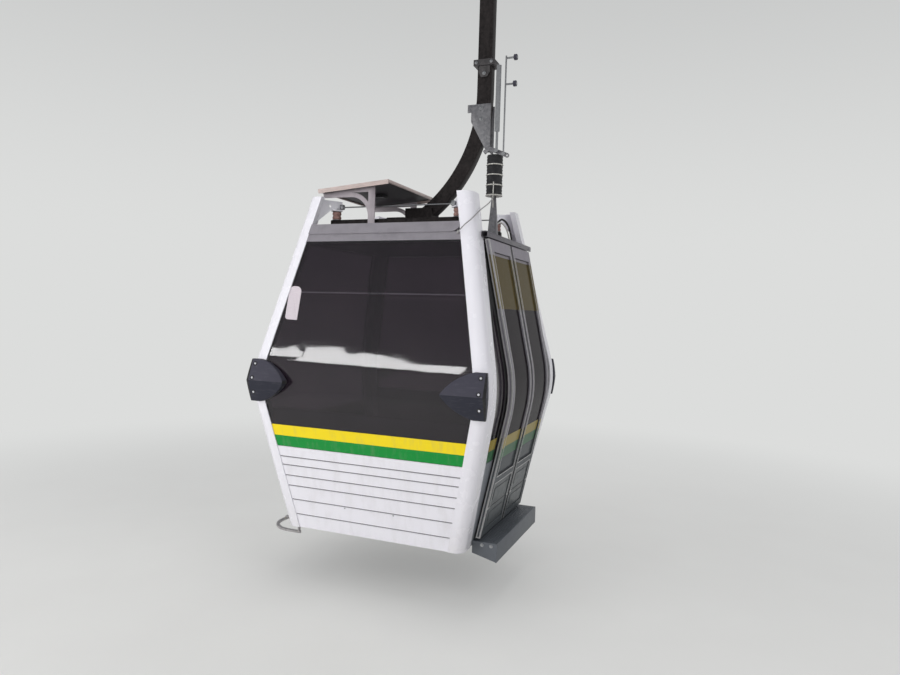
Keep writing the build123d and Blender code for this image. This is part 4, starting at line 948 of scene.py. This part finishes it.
class CABIN_OT_rounded(bpy.types.Operator):
    """Round off the hard edges of the welded, cast and moulded pieces"""
    bl_idname = "cabin.rounded"
    bl_label = "Rounded Frame Pieces"

    def execute(self, context):
        for row in ROUNDED:
            piece = softened(*row)
            if row[0] == "corner_bumpers":
                # painted shade: the rounded rim, which is all narrow faces, takes the black rubber finish for
                # the shade it lies in
                piece.data.materials.append(FINISH["rubber"])
                for face in piece.data.polygons:
                    around = sum((piece.data.vertices[a].co - piece.data.vertices[b].co).length
                                 for a, b in face.edge_keys)
                    face.material_index = int(face.area < 0.0045 * around)
        return {"FINISHED"}


# windows and what is laid on them: node, the way it faces, short name
PANES = (("end_window_front", (0, -1, 0), "front"), ("end_window_rear", (0, 1, 0), "rear"),
         ("side_window_left", (-1, 0, 0), "left"), ("door_side_windows", (1, 0, 0), "right"))
LEAVES = (("door_front", -1), ("door_rear", 1))


class CABIN_OT_gaskets(bpy.types.Operator):
    """Lay a rubber gasket round every window and every leaf's glass, by the pane's own edge"""
    bl_idname = "cabin.gaskets"
    bl_label = "Window Gaskets"

    def execute(self, context):
        width = context.scene.cabin_sizes.gasket_width
        for node, facing, name in PANES:
            # the joint under the hopper sash shows its bare edge
            ring = border(skin(node, facing), width,
                          lambda centre: abs(centre.z - UNDERSIDE - SASH_JOINT) > 0.02)
            laid_on(ring, 0.0016, name + "_gasket", "cabin", "rubber")
        for node, facing, name in PANES[:2]:
            edge = skin(node, facing, between(SASH_JOINT - 0.0035, SASH_JOINT + 0.0035))
            laid_on(edge, TRIM_HEIGHT, name + "_sash_edge", "cabin", "sash_edge")
        for leaf, _ in LEAVES:
            laid_on(border(skin(leaf + "_glass", (1, 0, 0)), 0.004), 0.002, leaf + "_gasket", leaf, "rubber")
        return {"FINISHED"}


class CABIN_OT_stripes(bpy.types.Operator):
    """Stick the two coloured foils across the foot of the windows and across the leaves"""
    bl_idname = "cabin.stripes"
    bl_label = "Stripes"

    def execute(self, context):
        step = context.scene.cabin_sizes.stripe_height
        foot = GLASS_FOOT - UNDERSIDE
        for colour, low in (("green", foot), ("yellow", foot + step)):
            cuts = between(low, low + step)
            for node, facing, name in PANES:
                # painted shade: the door side's panes take the darker stripe foils
                shade = "leaf_" + colour if name == "right" else colour
                laid_on(skin(node, facing, cuts), 0.0022, f"{colour}_stripe_{name}", "cabin", shade)
            # painted shade: the leaves take the darker stripe foils
            for leaf, _ in LEAVES:
                for field in ("glass", "frame"):
                    foil = skin(f"{leaf}_{field}", (1, 0, 0), cuts)
                    laid_on(foil, 0.0008, f"{colour}_stripe_{leaf}_{field}", leaf, "leaf_" + colour)
        return {"FINISHED"}


class CABIN_OT_leaf_trims(bpy.types.Operator):
    """Fit the bright aluminium edges of the leaves: round the frame, round its fields and on its end face"""
    bl_idname = "cabin.leaf_trims"
    bl_label = "Leaf Trims"

    def execute(self, context):
        top = LEAF_TOP - 0.0005
        for leaf, sign in LEAVES:
            low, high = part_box(leaf + "_frame")
            end = low.y if sign < 0 else high.y

            def upright(centre):
                return min(centre.y - low.y, high.y - centre.y) < 0.02

            def open_above(centre):
                # no edge crosses the plain band under the rail
                return centre.z < UNDERSIDE + BAND_FOOT - 0.03 or upright(centre)

            face = border(skin(leaf + "_frame", (1, 0, 0), between(LEAF_SEAM, top)), TRIM_WIDTH, open_above)
            laid_on(face, TRIM_HEIGHT, leaf + "_face_trim", leaf, "trim")
            foot = border(skin(leaf + "_frame", (1, 0, 0), between(0, LEAF_SEAM)), TRIM_WIDTH, upright)
            laid_on(foot, TRIM_HEIGHT, leaf + "_foot_trim", leaf, "trim")
            seam = skin(leaf + "_panel", (1, 0, 0), between(LEAF_SEAM - 0.003, LEAF_SEAM + 0.003))
            laid_on(seam, TRIM_HEIGHT, leaf + "_seam_trim", leaf, "trim")
            cuts = (((0, end - sign * 0.003, 0), (0, -sign, 0)),) + between(0, top)
            edge = border(skin(leaf + "_frame", (0, sign, 0), cuts, 0.9), 0.009)
            laid_on(edge, TRIM_HEIGHT, leaf + "_end_trim", leaf, "trim")
        return {"FINISHED"}


class CABIN_OT_door_jambs(bpy.types.Operator):
    """Carry the fixed strips beside the doorway on behind the leaves' edges, as folded jambs"""
    bl_idname = "cabin.door_jambs"
    bl_label = "Door Jambs"

    def execute(self, context):
        strips = (("door_side_panels", "lower", "slate"), ("door_side_windows", "upper", "rubber"))
        for node, field, finish in strips:
            for end, sign in (("front", 1), ("rear", -1)):
                # only the end face that looks into the doorway, not the one against the post
                cuts = (((0, -sign * DOORWAY_END, 0), (0, -sign, 0)), ((0, 0, 0), (0, sign, 0)))
                jamb = skin(node, (0, sign, 0), cuts, 0.95)
                laid_on(jamb, JAMB_DEPTH, f"{end}_{field}_jamb", "cabin", finish)
        return {"FINISHED"}


class CABIN_OT_door_gear(bpy.types.Operator):
    """Turn the bellows, their rings and the rollers, and draw the cables round them"""
    bl_idname = "cabin.door_gear"
    bl_label = "Door Gear"

    def execute(self, context):
        low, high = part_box("bellows_rings")
        x = (low.x + high.x) / 2
        ring = 0.008
        pitch = (high.z - low.z - ring) / 3
        rim = (high.x - low.x) / 2
        outline = ((0.040, -0.5), (0.96, -0.5), (1.0, -0.2), (1.0, 0.2), (0.96, 0.5), (0.040, 0.5))
        rings = [turned([(max(share * rim, 0.030), rise * ring) for share, rise in outline],
                        (x, 0, low.z + ring / 2 + fold * pitch), steps=56) for fold in range(4)]
        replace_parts(hand_over(join(rings), "ribbed_rings", "cabin", "white_sleeve"), "bellows_rings")

        # each sleeve has three shallow folds
        height = pitch - ring
        folds = [(0.0625 if step % 2 else 0.0585, step * height / 6) for step in range(7)]
        outline = [(0.034, 0.0)] + folds + [(0.034, height)]
        sleeves = [turned(outline, (x, 0, low.z + ring + fold * pitch), steps=56) for fold in range(4)]
        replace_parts(hand_over(join(sleeves), "folded_sleeves", "cabin", "rubber", 40), "door_bellows")

        low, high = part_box("door_roller_arms")
        middle = (low.y + high.y) / 2
        radius = (high.y - low.y) / 2
        groove = radius - 0.003
        pin = ((0, 0), (0.007, 0), (0.007, 0.053), (0.011, 0.053), (0.011, 0.0785), (0.009, 0.0805),
               (0, 0.0805))
        roller = ((0.0115, 0.055), (groove, 0.055), (radius, 0.058), (radius, 0.064), (groove, 0.0675),
                  (radius, 0.071), (radius, 0.0765), (groove, 0.0795), (0.0115, 0.0795))
        for outline, name, finish in ((pin, "roller_pins", "zinc"), (roller, "grooved_rollers", "plastic")):
            pair = [turned(outline, (low.x, middle, z), (1, 0, 0)) for z in (low.z + radius, high.z - radius)]
            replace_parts(hand_over(join(pair), name, "cabin", finish), "door_roller_arms")

        # the release cable, outside the near post to its ferrule on the header
        line = drawn(((0.618, -0.019, 2.534), (0.6817, -0.2775, 2.4495), (0.6997, -0.525, 2.365),
                      (0.6907, -0.662, 2.2825), (0.6447, -0.689, 2.241), (0.593, -0.6807, 2.188)), 0.004)
        ferrule = turned(((0, 0), (0.0055, 0), (0.0072, 0.002), (0.0072, 0.012), (0.005, 0.0145),
                          (0, 0.0145)), part(0.593, -0.6807, 2.188), (0, 1, 0), 20)
        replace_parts(hand_over(join([line, ferrule]), "release_line", "cabin", "sleeve"), "release_cable")
        # white cables from the third ring to the stand and the rail, and a black hose beside them
        routes = (((0.634, -0.066, 2.645), (0.636, -0.073, 2.60), (0.635, -0.072, 2.55),
                   (0.628, -0.058, 2.515), (0.620, -0.022, 2.50), (0.617, -0.012, 2.46)),
                  ((0.612, 0.055, 2.31), (0.632, 0.095, 2.372), (0.662, 0.155, 2.345), (0.684, 0.185, 2.285),
                   (0.694, 0.196, 2.226)))
        lines = [drawn(points, radius) for points, radius in zip(routes, (0.0035, 0.0055))]
        hand_over(join(lines), "stand_cables", "cabin", "white_sleeve")
        hose = drawn(((0.612, 0.075, 2.31), (0.630, 0.118, 2.395), (0.664, 0.182, 2.380),
                      (0.692, 0.215, 2.310), (0.704, 0.222, 2.226)), 0.008)
        hand_over(hose, "rail_hose", "cabin", "rubber")
        return {"FINISHED"}


class CABIN_OT_mounts(bpy.types.Operator):
    """Turn the rubber mounts between the frame and the posts, and clamp the tie rods to the posts' heads"""
    bl_idname = "cabin.mounts"
    bl_label = "Mounts and Rod Clamps"

    def execute(self, context):
        low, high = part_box("suspension_rubbers")
        x, y, height = high.x - 0.035, high.y - 0.035, high.z - low.z
        half = [(0, 0.005), (0.028, 0.005), (0.033, 0.012), (0.0345, 0.021), (0.032, 0.029), (0.0285, 0.033)]
        waisted = half + [(radius, height - rise) for radius, rise in reversed(half)]
        foot = ((0, 0), (0.034, 0), (0.035, 0.001), (0.035, 0.004), (0.034, 0.005), (0, 0.005))
        head = [(radius, height - rise) for radius, rise in foot]
        corners = [(sx * x, sy * y, low.z) for sx in (-1, 1) for sy in (-1, 1)]
        blocks = [turned(waisted, corner, steps=36) for corner in corners]
        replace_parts(hand_over(join(blocks), "mount_rubbers", "cabin", "mount", 40), "suspension_rubbers")
        plates = [turned(outline, corner, steps=36) for corner in corners for outline in (foot, head)]
        hand_over(join(plates), "mount_plates", "cabin", "galvanised")

        low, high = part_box("tie_rods")
        clamps = []
        for sx in (-1, 1):
            for y in (low.y + 0.005, high.y - 0.005):
                clamp = slab((-0.013, -0.017, -0.017), (0.013, 0.017, 0.021))
                bevel(clamp, 0.003)
                clamp.data.transform(Matrix.Translation((sx * (high.x - 0.016), y, low.z + 0.005)))
                nut = turned(((0, 0), (0.008, 0), (0.009, 0.001), (0.009, 0.007), (0.008, 0.008), (0, 0.008)),
                             (sx * (high.x - 0.030), y, low.z + 0.005), (-sx, 0, 0), 6)
                clamps += [clamp, nut]
        hand_over(join(clamps), "rod_clamps", "cabin", "zinc")
        return {"FINISHED"}


class CABIN_OT_solar(bpy.types.Operator):
    """Build the solar panel from a frame, a laminate, its back sheet and a junction box"""
    bl_idname = "cabin.solar"
    bl_label = "Solar Panel"

    def execute(self, context):
        up = Vector((-math.sin(SOLAR_TILT), 0, math.cos(SOLAR_TILT)))
        rim = flat_copy("solar_panel", 1.0)
        pick_faces(rim, lambda centre, normal: abs(normal.z) > 0.9)
        bpy.ops.mesh.inset(thickness=SOLAR_RIM)
        bpy.ops.mesh.delete(type="FACE")
        bpy.ops.mesh.select_mode(type="EDGE")
        bpy.ops.mesh.select_all(action="DESELECT")
        bpy.ops.mesh.select_non_manifold()
        bpy.ops.mesh.bridge_edge_loops()
        leave()
        outward(rim)
        bevel(rim, 0.0012)
        hand_over(rim, "solar_frame", "cabin", "solar_rim")
        sheets = [skin("solar_panel", (0, 0, facing), (), 0.9) for facing in (1, -1)]
        thickness = 0.004
        for sheet, facing, sink, name, finish in (
                (sheets[0], 1, 0.003, "solar_laminate", "cells"),
                (sheets[1], -1, 0.010, "solar_back", "back")):
            edit(sheet, "SELECT")
            bpy.ops.mesh.inset(thickness=SOLAR_RIM - 0.001)
            bpy.ops.mesh.select_all(action="INVERT")
            bpy.ops.mesh.delete(type="FACE")
            leave()
            sheet.data.transform(Matrix.Translation(-facing * (sink + thickness) * up))
            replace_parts(laid_on(sheet, thickness, name, "cabin", finish), "solar_panel")
        low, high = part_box("solar_panel")
        middle = (low + high) / 2
        # a lip under the front and the back edge of the frame
        slope = Matrix.Rotation(-SOLAR_TILT, 4, "Y")
        lips = []
        for y in (low.y + 0.004, high.y - 0.004):
            lip = slab((-0.297, -0.004, -0.0105), (0.297, 0.004, 0))
            bevel(lip, 0.0012)
            lip.data.transform(Matrix.Translation(Vector((middle.x, y, middle.z)) - 0.0108 * up) @ slope)
            lips.append(lip)
        hand_over(join(lips), "solar_lips", "cabin", "solar_rim")
        box = slab(middle + Vector((-0.055, -0.045, -0.024)), middle + Vector((0.055, 0.045, -0.002)))
        pressed(box, (0, 0, -1), (0.006, -0.003))
        bevel(box, 0.003)
        hand_over(box, "junction_box", "cabin", "rubber")
        return {"FINISHED"}


class CABIN_OT_springs(bpy.types.Operator):
    """Wind the two coil springs that shut the grip"""
    bl_idname = "cabin.springs"
    bl_label = "Grip Springs"

    def execute(self, context):
        wire = context.scene.cabin_sizes.spring_wire
        low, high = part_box("grip_springs")
        radius = (high.x - low.x) / 2 - wire / 2
        turns = 9
        coils = []
        for y in (low.y + radius + wire / 2, high.y - radius - wire / 2):
            bpy.ops.mesh.primitive_circle_add(vertices=12, radius=wire / 2, location=(radius, 0, 0),
                                              rotation=(math.pi / 2, 0, 0))
            coil = bpy.context.active_object
            close(coil)
            modify(coil, "SCREW", axis="Z", angle=math.tau, screw_offset=(high.z - low.z - wire) / turns,
                   iterations=turns, steps=24, render_steps=24)
            edit(coil)
            bpy.ops.mesh.select_mode(type="EDGE")
            bpy.ops.mesh.select_non_manifold()
            bpy.ops.mesh.fill_holes(sides=0)
            leave()
            outward(coil)
            coil.data.transform(Matrix.Translation(((low.x + high.x) / 2, y, low.z + wire / 2)))
            coils.append(coil)
        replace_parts(hand_over(join(coils), "coil_springs", "grip", "zinc", 60), "grip_springs")
        return {"FINISHED"}


class CABIN_OT_fittings(bpy.types.Operator):
    """Add the blank plate on the front window, the tread ribs and the bearers under the floor"""
    bl_idname = "cabin.fittings"
    bl_label = "Small Fittings"

    def execute(self, context):
        # corners of the blank plate on the glass, with the radius of each
        corners = ((-0.7053, -0.8001, 1.5619, 0.022), (-0.5993, -0.8011, 1.5577, 0.006),
                   (-0.5988, -0.7436, 1.8052, 0.045), (-0.7032, -0.7431, 1.8077, 0.040))
        places = [part(x, y - 0.0006, z) for x, y, z, radius in corners]
        bpy.ops.mesh.primitive_plane_add(size=1)
        sheet = context.active_object
        edit(sheet)
        mesh = bmesh.from_edit_mesh(sheet.data)
        mesh.verts.ensure_lookup_table()
        # a plane's corners are numbered row by row, the plate's go round it
        for index, where in zip((0, 1, 3, 2), places):
            mesh.verts[index].co = where
        bmesh.update_edit_mesh(sheet.data)
        for where, (x, y, z, radius) in zip(places, corners):
            bpy.ops.mesh.select_mode(type="VERT")
            mesh = bmesh.from_edit_mesh(sheet.data)
            for vert in mesh.verts:
                vert.select_set((vert.co - where).length < 0.001)
            bmesh.update_edit_mesh(sheet.data)
            bpy.ops.mesh.bevel(offset=radius, offset_type="OFFSET", segments=6, affect="VERTICES")
        leave()
        if sheet.data.polygons[0].normal.y > 0:
            sheet.data.flip_normals()
        modify(sheet, "SOLIDIFY", thickness=0.003, offset=1.0)
        outward(sheet)
        pressed(sheet, (0, -1, 0), (0.007, -0.0008))
        hand_over(sheet, "blank_plate", "cabin", "plate")

        low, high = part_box("door_sill")
        ribs = []
        for step in range(7):
            x = high.x - 0.020 - 0.019 * step
            rib = slab(part(x - 0.004, low.y + 0.02, 0.0415), part(x + 0.004, high.y - 0.02, 0.0445))
            pressed(rib, (0, 0, 1), (0.002, 0))
            bevel(rib, 0.0009)
            ribs.append(rib)
        hand_over(join(ribs), "tread_ribs", "cabin", "step")

        bearers = []
        for x in (-0.30, 0.30):
            bearer = slab(part(x - 0.03, -0.62, -0.016), part(x + 0.03, 0.62, 0.0197))
            pressed(bearer, (0, 0, -1), (0.006, -0.024))
            bevel(bearer, 0.0025)
            bearers.append(bearer)
        hand_over(join(bearers), "floor_bearers", "cabin", "galvanised")
        return {"FINISHED"}


class CABIN_OT_stage(bpy.types.Operator):
    """Set up the camera, the pale floor and the soft studio light"""
    bl_idname = "cabin.stage"
    bl_label = "Camera and Stage"

    def execute(self, context):
        azimuth, pitch, roll = (math.radians(angle) for angle in (22.0, -2.064, 1.656))
        right = Vector((math.cos(azimuth), math.sin(azimuth), 0))
        level = Vector((-math.sin(azimuth), math.cos(azimuth), 0))
        ahead = level * math.cos(pitch) + Vector((0, 0, math.sin(pitch)))
        up = right.cross(ahead)
        axes = (right * math.cos(roll) + up * math.sin(roll),
                up * math.cos(roll) - right * math.sin(roll), -ahead)
        turn = Matrix(axes).transposed().to_euler()
        bpy.ops.object.camera_add(location=(2.302, -4.985, UNDERSIDE + 1.641), rotation=turn)
        camera = context.active_object
        camera.data.lens = 27.14
        camera.data.sensor_width = 36
        camera.data.clip_end = 400
        context.scene.camera = camera
        context.scene.view_settings.view_transform = "Standard"

        bpy.ops.mesh.primitive_circle_add(vertices=128, radius=90, fill_type="NGON",
                                          location=(0, 0, UNDERSIDE - 0.42))
        floor = context.active_object
        floor.name = "studio_floor"
        floor.data.materials.append(FINISH["ground"])

        mirror = bpy.data.collections.new("front_window_only")
        mirror.objects.link(NODES["end_window_front"])
        for where, aim, size, power, lean, shown in LAMPS:
            turn = (Vector(aim) - Vector(where)).to_track_quat("-Z", "Y")
            turn = Quaternion((0, 1, 0), math.radians(lean)) @ turn
            bpy.ops.object.light_add(type="AREA", location=where, rotation=turn.to_euler())
            lamp = context.active_object
            lamp.data.shape = "RECTANGLE"
            lamp.data.size, lamp.data.size_y = size
            lamp.data.energy = power
            lamp.visible_camera = False
            lamp.visible_glossy = shown
            lamp.visible_transmission = False
            if shown:
                lamp.visible_diffuse = False
                lamp.light_linking.receiver_collection = mirror

        world = bpy.data.worlds.new("studio")
        context.scene.world = world
        world.use_nodes = True
        tree = world.node_tree
        tree.nodes.clear()
        light = add(tree, "Background", {"Color": linear("#e9edf2"), "Strength": 0.35})
        # the backdrop is pale at the horizon; reflections see it fall off to a soft grey overhead
        above = add(tree, "SeparateXYZ", {}, {0: add(tree, "TexCoord").outputs["Generated"]}).outputs["Z"]
        fade = ranged(tree, above, 0.08, 0.6, 0, 1, "SMOOTHSTEP")
        # straight from the camera the fall-off is slight
        weight = maths(tree, "MULTIPLY_ADD", add(tree, "LightPath").outputs["Is Camera Ray"], -0.65, 1.0)
        sky = mixed(tree, maths(tree, "MULTIPLY", fade, weight), HORIZON, "#77797c")
        backdrop = add(tree, "Background", {"Strength": 1.0}, {"Color": sky})
        seen = add(tree, "MixShader", {}, {0: looked_at(tree), 1: light, 2: backdrop})
        add(tree, "OutputWorld", {}, {"Surface": seen})
        return {"FINISHED"}


CLASSES = [CABIN_PG_sizes, CABIN_PG_colours, CABIN_OT_finishes, CABIN_OT_stage, CABIN_OT_rounded,
           CABIN_OT_gaskets, CABIN_OT_stripes, CABIN_OT_leaf_trims, CABIN_OT_door_jambs, CABIN_OT_door_gear,
           CABIN_OT_mounts, CABIN_OT_solar, CABIN_OT_springs, CABIN_OT_fittings, CABIN_OT_bolts]
STEPS = ("finishes", "stage", "rounded", "gaskets", "stripes", "leaf_trims", "door_jambs", "door_gear",
         "mounts", "solar", "springs", "fittings", "bolts")


class CABIN_PT_panel(bpy.types.Panel):
    """Lists the sizes, the colours and the steps that build the looks"""
    bl_idname = "CABIN_PT_panel"
    bl_label = "Cable Car Cabin"
    bl_space_type = "VIEW_3D"
    bl_region_type = "UI"
    bl_category = "Cabin"

    def draw(self, context):
        for group in (context.scene.cabin_sizes, context.scene.cabin_colours):
            for name in group.bl_rna.properties.keys():
                if name not in ("rna_type", "name"):
                    self.layout.prop(group, name)
        for step in STEPS:
            self.layout.operator("cabin." + step)


def register():
    for cls in CLASSES + [CABIN_PT_panel]:
        bpy.utils.register_class(cls)
    bpy.types.Scene.cabin_sizes = PointerProperty(type=CABIN_PG_sizes)
    bpy.types.Scene.cabin_colours = PointerProperty(type=CABIN_PG_colours)


def unregister():
    del bpy.types.Scene.cabin_sizes
    del bpy.types.Scene.cabin_colours
    for cls in reversed(CLASSES + [CABIN_PT_panel]):
        bpy.utils.unregister_class(cls)


def main():
    register()
    for step in STEPS:
        getattr(bpy.ops.cabin, step)()


if __name__ == "__main__":
    main()
